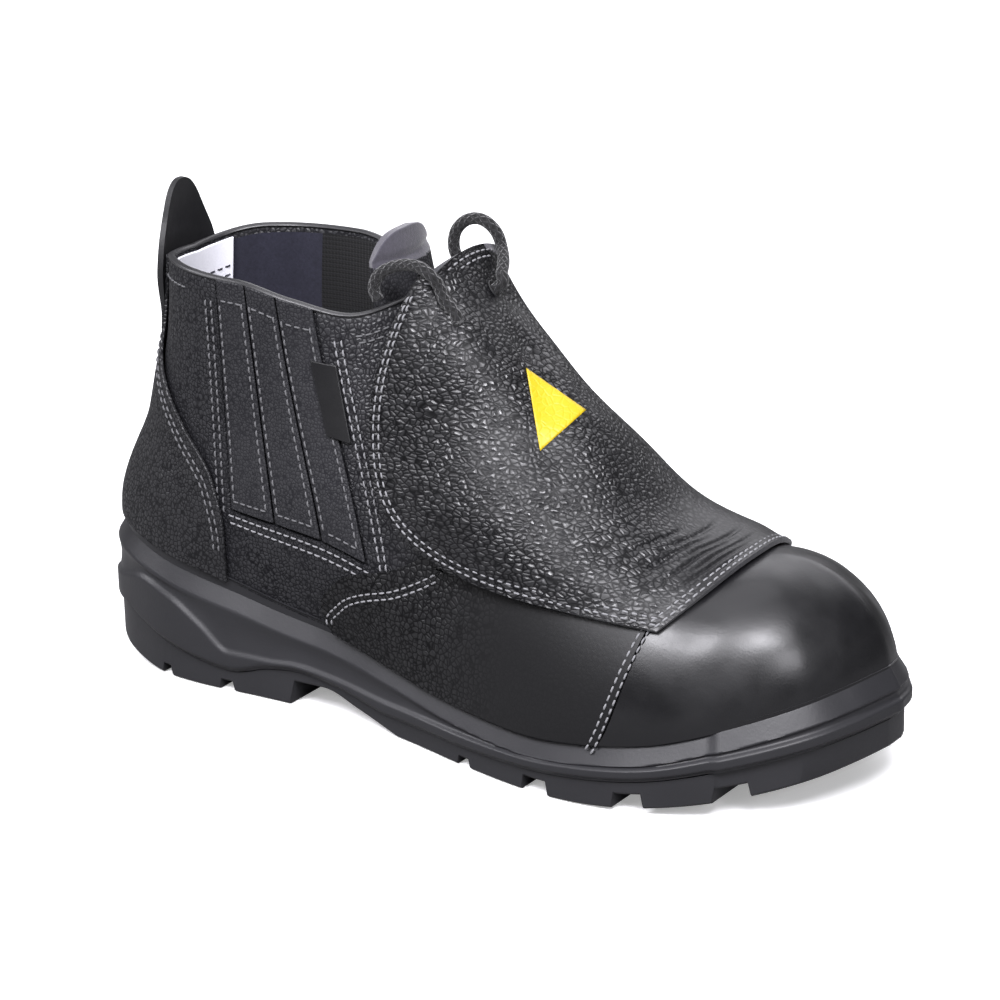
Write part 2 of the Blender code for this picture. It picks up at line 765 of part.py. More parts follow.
def strip_steps(strip):
    """Shares round the sole across one of the gore's strips."""
    run = (GORE_REAR - GORE_FRONT - 2 * STEP_WALL) / STRIPS
    start = GORE_FRONT + STEP_WALL + strip * run
    return np.linspace(start, start + run, STRIP_COLUMNS)


def around_steps():
    """Shares round the sole, closer at toe, throat and heel, with the strips' own in the gore."""
    even = np.linspace(0, 1, AROUND_STEPS + 1)
    even = even - 0.03 * np.sin(4 * np.pi * even)
    margin = 0.4 / AROUND_STEPS
    keep = even[(even < GORE_FRONT - margin) | (even > GORE_REAR + margin)]
    inside = [strip_steps(strip) for strip in range(STRIPS)]
    return np.unique(np.round(np.concatenate([keep, [GORE_FRONT, GORE_REAR], *inside]), 6))


def up_steps():
    even = np.linspace(0, 1, UP_STEPS + 1)
    keep = even[np.abs(even - GORE_FLOOR) > 0.4 / UP_STEPS]
    return np.sort(np.concatenate([keep, [GORE_FLOOR, GORE_FLOOR + 2 * STEP_WALL]]))


def upper_sheet(side, around, up):
    """Outer and inner grids of the upper's wall on one side, the gore's window set back."""
    a, u = np.meshgrid(around, up, indexing="ij")
    edge = STEP_WALL / 2
    window = (a > GORE_FRONT + edge) & (a < GORE_REAR - edge) & (u > GORE_FLOOR + edge)
    surface = leather(side, a, u)
    normal = surface_normal(surface)
    outer = surface - normal * (GORE_RECESS * window)[..., None]
    inner = surface - normal * UPPER_WALL
    return outer, inner


def make_upper(look):
    """The hollow upper: an outer and an inner sheet on each side, joined round both openings."""
    around, up = around_steps(), up_steps()
    ridge = around <= THROAT_AROUND
    sheets = np.array([upper_sheet(side, around, up) for side in ("lateral", "medial")])
    sheets[:, 1, :, 0, 2] = ledge_height(sheets[:, 1, :, 0, 0]) + GAP + FACET_ROOM
    sheets[:, :, 0] = sheets[:, :, 0].mean(axis=0)
    sheets[:, :, -1] = sheets[:, :, -1].mean(axis=0)
    sheets[:, :, ridge, -1] = sheets[:, :, ridge, -1].mean(axis=0)
    rows, columns = len(around), len(up)
    size, faces = rows * columns, []
    for side in (0, 1):
        start = 2 * side * size
        faces += grid_faces(rows, columns, start)
        faces += grid_faces(rows, columns, start + size)
        for r in range(rows - 1):
            a, b = start + r * columns, start + (r + 1) * columns
            faces.append((a, b, b + size, a + size))
            if not ridge[r + 1]:
                a, b = a + columns - 1, b + columns - 1
                faces.append((a, b, b + size, a + size))
    return add_solid("upper", sheets.reshape(-1, 3), faces, look)


def seam_around(side, up):
    """Where the toe cap's seam lies round the boot at each height, by its place along."""
    target = SEAM_LOW + (SEAM_RIDGE - SEAM_LOW) * up**0.8
    low, high = np.full(up.shape, 0.02), np.full(up.shape, 0.45)
    for _ in range(14):
        middle = (low + high) / 2
        behind = leather(side, middle, up)[..., 0] < target
        high, low = np.where(behind, middle, high), np.where(behind, low, middle)
    return (low + high) / 2


def lip_up(side, around):
    """The share of the way up at which the leather comes out of the lip."""
    low, high = np.zeros(around.shape), np.full(around.shape, 0.5)
    for _ in range(14):
        middle = (low + high) / 2
        p = leather(side, around, middle)
        above = p[..., 2] > sole_height("lip", p[..., 0]) + GAP + FACET_ROOM
        high, low = np.where(above, middle, high), np.where(above, low, middle)
    return (low + high) / 2


def overlay(side, around, up, gap=GAP + FACET_ROOM, thickness=LEATHER):
    surface = leather(side, around, up)
    normal = surface_normal(surface)
    return surface + normal * (gap + thickness), surface + normal * gap


def make_toe_cap(look):
    """Both halves of the cap in arches from the seam forward, welded at the toe's centre."""
    rows, columns = 9, 9
    halves = []
    for side in ("lateral", "medial"):
        share = np.linspace(0, 1, columns)
        seam = seam_around(side, share)
        around = seam[None, :] * (1 - easing(rows)[:, None])
        start = lip_up(side, around[:, 0])[:, None]
        up = start + (1 - start) * share[None, :]
        halves.append(overlay(side, around, up))
    outer, inner = join_halves(halves)
    return add_solid("toe_cap", *plate(outer, inner, folded=True), look)


def join_halves(halves):
    """One grid from the lateral edge over the ridge to the medial edge, for each surface."""
    joined = []
    for k in (0, 1):
        lateral, medial = halves[0][k], halves[1][k]
        middle = (lateral[:, -1:] + medial[:, -1:]) / 2
        front = (lateral[-1:] + medial[-1:]) / 2
        lateral, medial = lateral.copy(), medial.copy()
        lateral[-1:], medial[-1:] = front, front
        joined.append(np.concatenate([lateral[:, :-1], middle, medial[:, :-1][:, ::-1]], axis=1))
    return joined


def make_vamp(look):
    """The vamp from the cap's seam back to its rounded wings, over the upper."""
    rows, columns = 14, 11
    halves = []
    for side in ("lateral", "medial"):
        share = np.linspace(0, 1, columns) ** 1.15
        seam = seam_around(side, share) + 0.004
        start = np.linspace(0, 1, rows)[:, None]
        wing = read(WING_EDGE, "around", np.clip(share * 1.0, 0, 0.36))
        wing = np.where(share > 0.36, 0.42, wing)
        around = seam[None, :] + (wing - seam)[None, :] * start
        low = lip_up(side, around[:, 0])[:, None]
        up = low + (1 - low) * share[None, :]
        halves.append(overlay(side, around, up, GAP + 2.6 * FACET_ROOM, VAMP_THICKNESS))
    joined = []
    for k in (0, 1):
        lateral, medial = halves[0][k], halves[1][k]
        middle = (lateral[:, -1:] + medial[:, -1:]) / 2
        joined.append(np.concatenate([lateral[:, :-1], middle, medial[:, :-1][:, ::-1]], axis=1))
    return add_solid("vamp", *plate(*joined), look)


def make_counter(look):
    """The heel counter with its back strip, from the collar down to the sole."""
    rows, columns = 9, 11
    share = np.linspace(0, 1, columns)
    halves = []
    for side in ("lateral", "medial"):
        edge = read(COUNTER_EDGE, "around", share)
        around = edge[None, :] + (1 - edge)[None, :] * easing(rows)[:, None]
        low = lip_up(side, around[:, 0])[:, None]
        up = low + (0.995 - low) * share[None, :]
        halves.append(overlay(side, around, up))
    joined = []
    for k in (0, 1):
        lateral, medial = halves[0][k], halves[1][k]
        middle = (lateral[-1:] + medial[-1:]) / 2
        joined.append(np.concatenate([lateral[:-1], middle, medial[:-1][::-1]], axis=0))
    return add_solid("heel_counter", *plate(*joined), look)


def make_gore_strips(look):
    """Three leather strips that cover each side's elastic, a little apart."""
    up = up_steps()
    up = up[up > GORE_FLOOR + STEP_WALL]
    up[0] += STRIP_GAP / SHAFT_HEIGHT
    for side in ("lateral", "medial"):
        for strip in range(STRIPS):
            around = strip_steps(strip)
            around[0] += STRIP_GAP / SOLE_LENGTH / 2
            around[-1] -= STRIP_GAP / SOLE_LENGTH / 2
            depth = GAP + FACET_ROOM - GORE_RECESS
            sheets = overlay(side, around[:, None], up[None, :], depth, STRIP_THICKNESS)
            add_solid(f"gore_strip_{side}_{strip + 1}", *plate(*sheets), look)


def guard_point(side, share, turn):
    """Points of the guard's inner face. Turn is 0 on its ridge and 90 degrees at its edge."""
    sign = -1 if side == "lateral" else 1
    ridge_x = read(GUARD, "ridge_along", share) * SOLE_LENGTH
    ridge_z = read(GUARD, "ridge_height", share) * SHAFT_HEIGHT
    edge_x = read(GUARD, "edge_along", share) * SOLE_LENGTH
    edge_z = read(GUARD, "edge_height", share) * SHAFT_HEIGHT
    width = read(GUARD, "side", share) * BALL_WIDTH
    fall = 1 - np.cos(turn)
    x = ridge_x + (edge_x - ridge_x) * fall
    z = ridge_z + (edge_z - ridge_z) * fall
    y = centre_line(ridge_x) + sign * width * np.sin(turn)
    hug = np.clip(1 - share / GUARD_HUG, 0, 1) + 0 * turn
    on_cap = 2 * GAP + FACET_ROOM + LEATHER
    lifted = np.clip(share / GUARD_LIFT, 0, 1) + 0 * turn
    clearance = on_cap + (GUARD_CLEARANCE - on_cap) * lifted
    return settle(np.stack([x, y, z], axis=-1), clearance, hug)


def settle(p, clearance, hug):
    """Moves points out to the clearance, and in to it by the share that the leather hugs."""
    for _ in range(5):
        short = clearance - last(p)
        short = np.where(short < 0, hug * short, short)
        p = p + surface_normal(p) * short[..., None]
    return p


def grid_normal(grid):
    along = np.gradient(grid, axis=0)
    across = np.gradient(grid, axis=1)
    normal = np.cross(across, along)
    normal /= np.linalg.norm(normal, axis=-1)[..., None]
    return normal * np.sign(normal[..., 2].sum())


def make_guard(look):
    rows, half = 16, 8
    share = np.linspace(0, 1, rows)[:, None]
    turn = np.radians(np.linspace(0, 90, half))[None, :]
    lateral, medial = guard_point("lateral", share, turn), guard_point("medial", share, turn)
    inner = np.concatenate([lateral[:, ::-1], medial[:, 1:]], axis=1)
    normal = grid_normal(inner)
    outer = inner + normal * GUARD_THICKNESS
    return add_solid("metatarsal_guard", *plate(outer, inner), look)


def front_point(half_width, side_share, height):
    """Points on the front of the shaft's inner face, at a share of the half width."""
    y = side_share * half_width
    inner_reach = UPPER_WALL + GAP + FACET_ROOM
    base = np.stack([0 * y + (COLLAR_FRONT + COLLAR_BACK) / 2, y * 0.4, height], axis=-1)
    way = np.stack([0 * y + 0.05, y * 0.6, 0 * y], axis=-1)
    p = reach_surface(base, way)
    return p - surface_normal(p) * inner_reach


def make_tongue(look):
    """The padded front tab inside the collar's front, rising over it with a rounded top."""
    rows, columns = 9, 9
    side = np.linspace(-1, 1, columns)[None, :]
    rise = np.linspace(0, 1, rows)[:, None]
    bottom = 0.80 * SHAFT_HEIGHT
    top = TONGUE_TOP - 0.009 * np.abs(side) ** 3
    height = bottom + (top - bottom) * rise
    width = TONGUE_HALF_WIDTH * (1 - 0.10 * rise**3)
    outer = front_point(width, side, height)
    inner = outer - surface_normal(outer) * TONGUE_THICKNESS
    return add_solid("tongue", *plate(outer, inner), look)


def make_pull_tab(look):
    """The arched leather tab at the back, sewn outside the counter and standing over it."""
    rows, columns = 9, 7
    side = np.linspace(-1, 1, columns)[None, :]
    rise = np.linspace(0, 1, rows)[:, None]
    bottom = 0.80 * SHAFT_HEIGHT
    top = PULL_TAB_TOP - 0.013 * np.abs(side) ** 2.5
    height = bottom + (top - bottom) * rise
    y = side * PULL_TAB_HALF_WIDTH * (1 - 0.35 * rise**4)
    middle = np.full(height.shape, (COLLAR_FRONT + COLLAR_BACK) / 2)
    base = np.stack([middle, 0.3 * y, height], axis=-1)
    way = np.stack([0 * height - 0.05, 0.7 * y, 0 * height], axis=-1)
    surface = reach_surface(base, way)
    normal = surface_normal(surface)
    inner = surface + normal * (2 * GAP + 2 * FACET_ROOM + LEATHER)
    outer = inner + normal * PULL_TAB_THICKNESS
    return add_solid("pull_tab", *plate(outer, inner), look)


def make_heel_patch(look):
    """The pale patch on the collar's inner face at the heel."""
    around = np.linspace(PATCH_AROUND, 1.0, 6)[:, None]
    up = np.linspace(*PATCH_UP, 6)[None, :]
    halves = []
    for side in ("lateral", "medial"):
        surface = leather(side, around, up)
        normal = surface_normal(surface)
        reach = UPPER_WALL + GAP + FACET_ROOM
        halves.append((surface - normal * reach, surface - normal * (reach + PATCH_THICKNESS)))
    joined = []
    for k in (0, 1):
        lateral, medial = halves[0][k], halves[1][k]
        middle = (lateral[-1:] + medial[-1:]) / 2
        joined.append(np.concatenate([lateral[:-1], middle, medial[:-1][::-1]], axis=0))
    return add_solid("heel_patch", *plate(*joined), look)


def make_side_tag(look):
    """The plain rubber tag sewn into the gore's front seam on the lateral side."""
    around = np.linspace(*TAG_AROUND, 4)[:, None]
    up = np.linspace(*TAG_UP, 5)[None, :]
    outer, inner = overlay("lateral", around, up, gap=3 * GAP + FACET_ROOM, thickness=TAG_THICKNESS)
    return add_solid("side_tag", *plate(outer, inner), look)


def make_lace(name, route, look):
    """A round cord as a tube through the route's points."""
    curve = bpy.data.curves.new(name, "CURVE")
    curve.dimensions = "3D"
    curve.bevel_depth = LACE_DIAMETER / 2
    curve.bevel_resolution = 2
    curve.use_fill_caps = True
    points = smooth_curve(route, 17) - np.array([ORIGIN_ALONG, 0, 0])
    spline = curve.splines.new("POLY")
    spline.points.add(len(points) - 1)
    for target, point in zip(spline.points, points):
        target.co = (*point, 1.0)
    made = bpy.data.objects.new(name, curve)
    bpy.context.scene.collection.objects.link(made)
    curve.materials.append(look)
    return made


def main():
    for old in list(bpy.data.objects):
        bpy.data.objects.remove(old, do_unlink=True)
    rubber = material("rubber", (0.030, 0.030, 0.033), 0.62)
    grained = material("grained_leather", (0.022, 0.022, 0.025), 0.45)
    smooth = material("smooth_leather", (0.014, 0.014, 0.016), 0.28)
    suede = material("suede", (0.085, 0.080, 0.092), 0.95)
    pale = material("pale_patch", (0.78, 0.78, 0.80), 0.60)
    cord = material("cord", (0.012, 0.012, 0.013), 0.90)

    make_outsole(rubber)
    make_midsole(rubber)
    make_insole(suede)
    make_upper(grained)
    make_toe_cap(smooth)
    make_vamp(grained)
    make_counter(grained)
    make_gore_strips(grained)
    make_guard(grained)
    make_tongue(suede)
    make_pull_tab(smooth)
    make_heel_patch(pale)
    make_side_tag(rubber)
    make_lace("lace_lateral", LACE_LATERAL, cord)
    make_lace("lace_medial", LACE_MEDIAL, cord)


main()
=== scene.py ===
"""Looks of the metatarsal guard boot: fine leather shells, moulded sole, stitching and cords.

The boot's own surface is worked out here from the same sizes as its solids, only finer.
Lengths along the boot are counted from the back of the sole, in metres.
"""

import math

import bmesh
import bpy
import numpy as np
from mathutils import Matrix, Vector
from mathutils.bvhtree import BVHTree


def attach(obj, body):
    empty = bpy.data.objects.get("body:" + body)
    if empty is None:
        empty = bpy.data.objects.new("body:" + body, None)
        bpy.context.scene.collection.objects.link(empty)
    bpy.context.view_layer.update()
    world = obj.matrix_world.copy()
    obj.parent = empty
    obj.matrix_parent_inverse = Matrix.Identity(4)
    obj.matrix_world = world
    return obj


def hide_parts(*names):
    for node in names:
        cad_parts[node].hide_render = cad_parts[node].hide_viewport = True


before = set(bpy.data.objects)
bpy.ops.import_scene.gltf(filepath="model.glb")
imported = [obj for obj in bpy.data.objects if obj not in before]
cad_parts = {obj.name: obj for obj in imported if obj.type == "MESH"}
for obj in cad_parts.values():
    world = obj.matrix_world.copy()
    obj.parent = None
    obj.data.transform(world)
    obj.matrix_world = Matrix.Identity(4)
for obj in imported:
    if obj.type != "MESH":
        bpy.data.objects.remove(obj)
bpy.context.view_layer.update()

# Sizes of the boot, as in its solids
SOLE_LENGTH = 0.300
BALL_WIDTH = 0.108
SHAFT_HEIGHT = 0.146
CAP_HEIGHT = 0.0715
COLLAR_BACK = 0.030
COLLAR_FRONT = 0.126
COLLAR_HALF_WIDTH = 0.0355
UPPER_INSET = 0.0050
UPPER_WALL = 0.0022
ORIGIN_ALONG = 0.050
LIP_WRAP = 0.0075
SOLE_STEP = 0.0011
BUMPER_START = 0.263
TREAD_INSET = 0.0022
HEEL_BREAST = 0.0895
TREAD_DEPTH = 0.0048
HEEL_BEVEL = 0.0065
TOE_SPRING = 0.0165
SPRING_START = 0.207
SEAM_LOW = 0.224
SEAM_RIDGE = 0.2500
TONGUE_TOP = 0.1635
TONGUE_HALF_WIDTH = 0.0215
PULL_TAB_TOP = 0.1665
PULL_TAB_HALF_WIDTH = 0.0150
LACE_DIAMETER = 0.0040
SHOULDER_RUN = 0.040
SHOULDER_POWER = 2.2
OVAL_POWER = 2.25
INSTEP_BLEND = 0.024
WAIST_RISE = 0.050
WAIST_BULGE = 0.014
WAIST_BLEND = 0.008
SPINE_BACK = 0.165
SPINE_FRONT = 0.80
SPINE_SETBACK = 0.020
THROAT_AROUND = 0.50
GORE_FRONT = 0.569
GORE_REAR = 0.739
GORE_FLOOR = 0.27
GUARD_HUG = 0.35
TOE_TIP_SIDE = 0.087
PARTING_INSET = 0.0016
PARTING_RUN = 0.0022
BUMPER_PROUD = 0.0014
BEVEL_DROP = 0.0075
HEEL_BEVEL_DROP = 0.003
BEVEL_SLOPE = 0.62
WALL_HOLLOW = 0.0007
HEEL_BEVEL_RUN = 0.042
CHANNEL_HALF_WIDTH = 0.006
CHANNEL_START = 0.150
CHANNEL_STOP = 0.030
CHANNEL_SLOPE = 0.0015
TREAD_ROUND = 0.0008
BLEND_LEAST = 0.005
INSTEP_START = 0.20
INSTEP_RUN = 0.20
WAIST_BLEND_LEAST = 0.001
REACH_LIMIT = 3.0
TAG_AROUND = (0.559, 0.583)
TAG_UP = (0.62, 0.86)

# Pieces laid over the solids, their gaps, walls and rounded edges
OVERLAY_GAP = 0.0009
OVERLAY_THICKNESS = 0.0013
OVERLAY_ROUND = 0.0004
ON_OVERLAY = OVERLAY_GAP + OVERLAY_THICKNESS
VAMP_GAP = 0.0016
VAMP_THICKNESS = 0.0011
ON_VAMP = VAMP_GAP + VAMP_THICKNESS
SEAM_SHIFT = 0.0015
LIP_COVER = 0.0012
STRIP_EDGES = np.linspace(GORE_FRONT + 0.002, GORE_REAR - 0.002, 4)
STRIP_GAP = 0.0016
STRIP_ROW = 0.0070
THIN_ROUND = 0.0003
GORE_RECESS = 0.0012
GUARD_THICKNESS = 0.0028
GUARD_LIFT = 0.12
FLAP_BOTTOM = 0.80
TONGUE_THICKNESS = 0.0040
TONGUE_FOLD = 0.1545
TONGUE_LEATHER = 0.1508
PATCH_AROUND = {"lateral": 0.87, "medial": 0.905}
PATCH_UP = (0.74, 0.992)
PATCH_DEPTH = UPPER_WALL + 0.0014

# Stitches, how far they stand off and the sides of the boot
STITCH_PITCH = 0.0031
STITCH_SIZE = np.array((0.0024, 0.00034, 0.00034))
STITCH_REACH = 0.0006
STITCH_SIDES = 6
ON_LEATHER = 0.0001
NORMAL_STEP = 0.0008
SIDES = {"lateral": -1, "medial": 1}
SOLE_BACK = (ORIGIN_ALONG, 0, 0)
COLLAR_MIDDLE = (COLLAR_FRONT + COLLAR_BACK) / 2

# One stitch, a short thread that dips into the leather at both ends
STITCH_SHAPE = (
    ("along", "thickness", "rise"),
    (-0.50, 0.15, -1.00),
    (-0.42, 0.75, -0.25),
    (-0.25, 1.00, 0.25),
    (0.00, 1.00, 0.40),
    (0.25, 1.00, 0.25),
    (0.42, 0.75, -0.25),
    (0.50, 0.15, -1.00),
)

SOLE_PLAN = (
    ("along", "lateral", "medial"),
    (0.0065, 0.120, 0.120),
    (0.023, 0.204, 0.204),
    (0.059, 0.292, 0.290),
    (0.118, 0.361, 0.356),
    (0.183, 0.380, 0.370),
    (0.281, 0.364, 0.343),
    (0.379, 0.359, 0.301),
    (0.477, 0.402, 0.310),
    (0.575, 0.468, 0.368),
    (0.657, 0.509, 0.440),
    (0.722, 0.515, 0.489),
    (0.788, 0.491, 0.508),
    (0.853, 0.430, 0.489),
    (0.908, 0.340, 0.435),
    (0.954, 0.218, 0.339),
    (0.980, 0.085, 0.241),
    (0.993, -0.019, 0.174),
)
SOLE_SIDE = (
    ("along", "parting", "crease", "lip"),
    (0.000, 0.130, 0.185, 0.355),
    (0.060, 0.130, 0.212, 0.343),
    (0.101, 0.112, 0.233, 0.330),
    (0.150, 0.082, 0.208, 0.312),
    (0.193, 0.064, 0.158, 0.296),
    (0.232, 0.054, 0.103, 0.279),
    (0.284, 0.080, 0.103, 0.252),
    (0.320, 0.088, 0.108, 0.236),
    (0.376, 0.074, 0.098, 0.214),
    (0.458, 0.046, 0.082, 0.179),
    (0.542, 0.047, 0.080, 0.152),
    (0.657, 0.054, 0.083, 0.139),
    (0.732, 0.064, 0.094, 0.150),
    (0.807, 0.082, 0.112, 0.171),
    (0.892, 0.122, 0.156, 0.222),
    (1.000, 0.178, 0.215, 0.292),
)
ARCH = (
    ("along", "height"),
    (0.310, 0.058),
    (0.356, 0.060),
    (0.402, 0.034),
    (0.465, 0.000),
)
GROOVES = (
    ("start", "end", "depth"),
    (0.128, 0.142, 0.7),
    (0.214, 0.232, 0.7),
    (0.565, 0.582, 0.6),
    (0.660, 0.692, 1.0),
    (0.771, 0.803, 1.0),
    (0.873, 0.905, 1.0),
)
RIDGE = (
    ("along", "height"),
    (0.00, 1.20),
    (0.38, 1.66),
    (0.44, 1.52),
    (0.51, 1.37),
    (0.59, 1.22),
    (0.68, 1.085),
    (0.76, 0.995),
    (0.82, 0.965),
    (0.86, 0.985),
    (0.90, 1.00),
    (1.00, 1.00),
)
SHAFT = (
    ("height", "back", "front", "width"),
    (0.20, -0.245, 0.41, 1.015),
    (0.34, -0.240, 0.35, 1.030),
    (0.51, -0.160, 0.27, 1.015),
    (0.68, -0.089, 0.146, 0.972),
    (0.82, -0.030, 0.052, 0.972),
    (1.00, 0.000, 0.000, 1.000),
    (1.17, 0.010, -0.026, 1.015),
)
COLLAR_RIM = (
    ("turn", "height"),
    (0.0, 0.985),
    (24.0, 0.965),
    (43.0, 0.948),
    (66.0, 0.972),
    (92.0, 1.000),
    (135.0, 1.000),
    (165.0, 0.985),
    (180.0, 0.980),
)
RIDGE_FLOW = (
    ("around", "ridge_along"),
    (0.00, 0.865),
    (0.10, 0.845),
    (0.22, 0.760),
    (0.36, 0.590),
    (0.50, 0.430),
)
COLLAR_FLOW = (
    ("around", "turn"),
    (0.50, 0.0),
    (0.569, 56.0),
    (0.655, 80.0),
    (0.739, 102.0),
    (0.86, 140.0),
    (1.00, 180.0),
)
COUNTER_EDGE = (
    ("up", "around"),
    (0.00, 0.744),
    (0.16, 0.744),
    (0.34, 0.758),
    (0.50, 0.805),
    (0.66, 0.870),
    (0.80, 0.915),
    (1.00, 0.925),
)
WING_EDGE = (
    ("up", "around"),
    (0.00, 0.622),
    (0.08, 0.632),
    (0.16, 0.612),
    (0.24, 0.560),
    (0.30, 0.490),
    (0.36, 0.430),
)
GUARD = (
    ("share", "ridge_along", "ridge_height", "edge_along", "edge_height", "side"),
    (0.00, 0.842, 0.505, 0.797, 0.385, 0.360),
    (0.10, 0.800, 0.540, 0.745, 0.395, 0.380),
    (0.22, 0.740, 0.610, 0.680, 0.410, 0.392),
    (0.34, 0.685, 0.690, 0.610, 0.432, 0.392),
    (0.46, 0.634, 0.778, 0.530, 0.465, 0.380),
    (0.57, 0.594, 0.848, 0.466, 0.530, 0.352),
    (0.68, 0.558, 0.905, 0.436, 0.640, 0.318),
    (0.79, 0.525, 0.965, 0.430, 0.780, 0.285),
    (0.90, 0.498, 1.025, 0.445, 0.925, 0.240),
    (1.00, 0.480, 1.080, 0.470, 1.045, 0.170),
)
LACE_LATERAL = (
    (0.1259, -0.0234, 0.1445),
    (0.1241, -0.0230, 0.1481),
    (0.1256, -0.0226, 0.1523),
    (0.1297, -0.0220, 0.1554),
    (0.1354, -0.0216, 0.1572),
    (0.1412, -0.0215, 0.1573),
    (0.1459, -0.0216, 0.1551),
    (0.1479, -0.0203, 0.1517),
    (0.1501, -0.0206, 0.1474),
    (0.1535, -0.0202, 0.1441),
    (0.1547, -0.0205, 0.1422),
    (0.1545, -0.0199, 0.1401),
)
LACE_MEDIAL = (
    (0.1333, 0.0120, 0.1489),
    (0.1314, 0.0120, 0.1544),
    (0.1324, 0.0120, 0.1597),
    (0.1362, 0.0120, 0.1637),
    (0.1410, 0.0120, 0.1652),
    (0.1453, 0.0120, 0.1642),
    (0.1484, 0.0125, 0.1610),
    (0.1504, 0.0120, 0.1568),
    (0.1538, 0.0080, 0.1536),
    (0.1562, 0.0033, 0.1509),
    (0.1574, 0.0022, 0.1497),
    (0.1571, 0.0014, 0.1478),
)


def read(table, name, at):
    """A column of a table at the given places of its first column, by a monotone cubic."""
    names, *rows = table
    data = np.array(rows, float)
    x, y = data[:, 0], data[:, names.index(name)]
    step, slope = np.diff(x), np.diff(y) / np.diff(x)
    tangent = np.zeros(len(x))
    same = slope[:-1] * slope[1:] > 0
    w1, w2 = 2 * step[1:] + step[:-1], step[1:] + 2 * step[:-1]
    safe = np.where(same, slope[:-1], 1.0), np.where(same, slope[1:], 1.0)
    tangent[1:-1] = np.where(same, (w1 + w2) / (w1 / safe[0] + w2 / safe[1]), 0.0)
    tangent[0], tangent[-1] = slope[0], slope[-1]
    at = np.clip(np.asarray(at, float), x[0], x[-1])
    i = np.clip(np.searchsorted(x, at) - 1, 0, len(x) - 2)
    u = (at - x[i]) / step[i]
    return (
        (2 * u**3 - 3 * u**2 + 1) * y[i]
        + (u**3 - 2 * u**2 + u) * step[i] * tangent[i]
        + (3 * u**2 - 2 * u**3) * y[i + 1]
        + (u**3 - u**2) * step[i] * tangent[i + 1]
    )


def unit(vectors):
    return vectors / np.linalg.norm(vectors, axis=-1)[..., None]


def run_along(line):
    """The way run along a line at each of its points."""
    return np.r_[0, np.cumsum(np.linalg.norm(np.diff(line, axis=0), axis=1))]


def values_at(places, run, data):
    return np.stack([np.interp(places, run, column) for column in data.T], axis=1)


def halved(past, low, high, passes=14):
    """Where a test turns true between low and high, found by halving the way between them."""
    for _ in range(passes):
        middle = (low + high) / 2
        beyond = past(middle)
        high, low = np.where(beyond, middle, high), np.where(beyond, low, middle)
    return (low + high) / 2


def resample(line, samples):
    run = run_along(line)
    return values_at(np.linspace(0, run[-1], samples), run, line)


def smooth_curve(points, samples):
    """Even samples of a smooth open curve through the points."""
    p = np.array(points, float)
    p = np.vstack([2 * p[0] - p[1], p, 2 * p[-1] - p[-2]])
    u = np.linspace(0, 1, 24, endpoint=False)[:, None]
    pieces = []
    for a, b, c, d in zip(p[:-3], p[1:-2], p[2:-1], p[3:]):
        cubic = u**3 * (1.5 * (b - c) + 0.5 * (d - a))
        pieces.append(b + 0.5 * u * (c - a) + u**2 * (a - 2.5 * b + 2 * c - 0.5 * d) + cubic)
    return resample(np.vstack(pieces + [p[-2:-1]]), samples)


def half_plan(side, samples):
    """The sole's outline from the toe's tip to the heel's back along one side."""
    data = np.array(SOLE_PLAN[1:], float)
    width = data[:, SOLE_PLAN[0].index(side)] * BALL_WIDTH * SIDES[side]
    points = np.c_[data[:, 0] * SOLE_LENGTH, width]
    mirrored, tip = [(points[0, 0], -width[0])], [(SOLE_LENGTH, TOE_TIP_SIDE * BALL_WIDTH)]
    curve = smooth_curve(np.vstack([mirrored, [(0.0, 0.0)], points, tip]), 8 * samples)
    start = np.argmin(np.abs(curve[: 2 * samples, 1]) + curve[: 2 * samples, 0])
    return resample(curve[start:][::-1], samples)


def plan_loop(steps):
    """The whole outline as a loop: toe, lateral side, heel, medial side."""
    lateral, medial = half_plan("lateral", steps + 1), half_plan("medial", steps + 1)
    return np.vstack([lateral, medial[1:-1][::-1]])


def outward(loop):
    ahead = np.roll(loop, -2, axis=0) - np.roll(loop, 2, axis=0)
    normal = unit(np.c_[ahead[:, 1], -ahead[:, 0]])
    return normal * np.sign(np.sum((loop - (SOLE_LENGTH / 2, 0.0)) * normal))


def inset(loop, by):
    return loop - outward(loop) * np.reshape(by, (-1, 1))


CHART_MARGIN = 0.030
CHART_STEP = 0.0015
UPPER_PLAN = inset(plan_loop(240), UPPER_INSET)


def measure_inside(x, y):
    """How far each point lies inside the upper's own outline in plan. Outside is negative."""
    ends = np.roll(UPPER_PLAN, -1, axis=0)
    reach = ends - UPPER_PLAN
    dx, dy = x[:, None] - UPPER_PLAN[:, 0], y[:, None] - UPPER_PLAN[:, 1]
    share = np.clip((dx * reach[:, 0] + dy * reach[:, 1]) / np.sum(reach**2, axis=1), 0, 1)
    away = np.sqrt(((dx - share * reach[:, 0]) ** 2 + (dy - share * reach[:, 1]) ** 2).min(axis=1))
    straddles = (UPPER_PLAN[:, 1] > y[:, None]) != (ends[:, 1] > y[:, None])
    rise = np.where(reach[:, 1] == 0, 1.0, reach[:, 1])
    crossings = (straddles & (dx < dy / rise * reach[:, 0])).sum(axis=1)
    return away * np.where(crossings % 2 == 1, 1, -1)


def chart_inside():
    along = np.arange(-CHART_MARGIN, SOLE_LENGTH + CHART_MARGIN, CHART_STEP)
    side = np.arange(-BALL_WIDTH, BALL_WIDTH, CHART_STEP)
    rows = [measure_inside(np.full(side.shape, x), side) for x in along]
    return along, side, np.array(rows)


CHART = chart_inside()


def spline_weights(t):
    """Weights of a quadratic spline over three places, smooth from one to the next."""
    return 0.5 * (0.5 - t) ** 2, 0.75 - t**2, 0.5 * (0.5 + t) ** 2


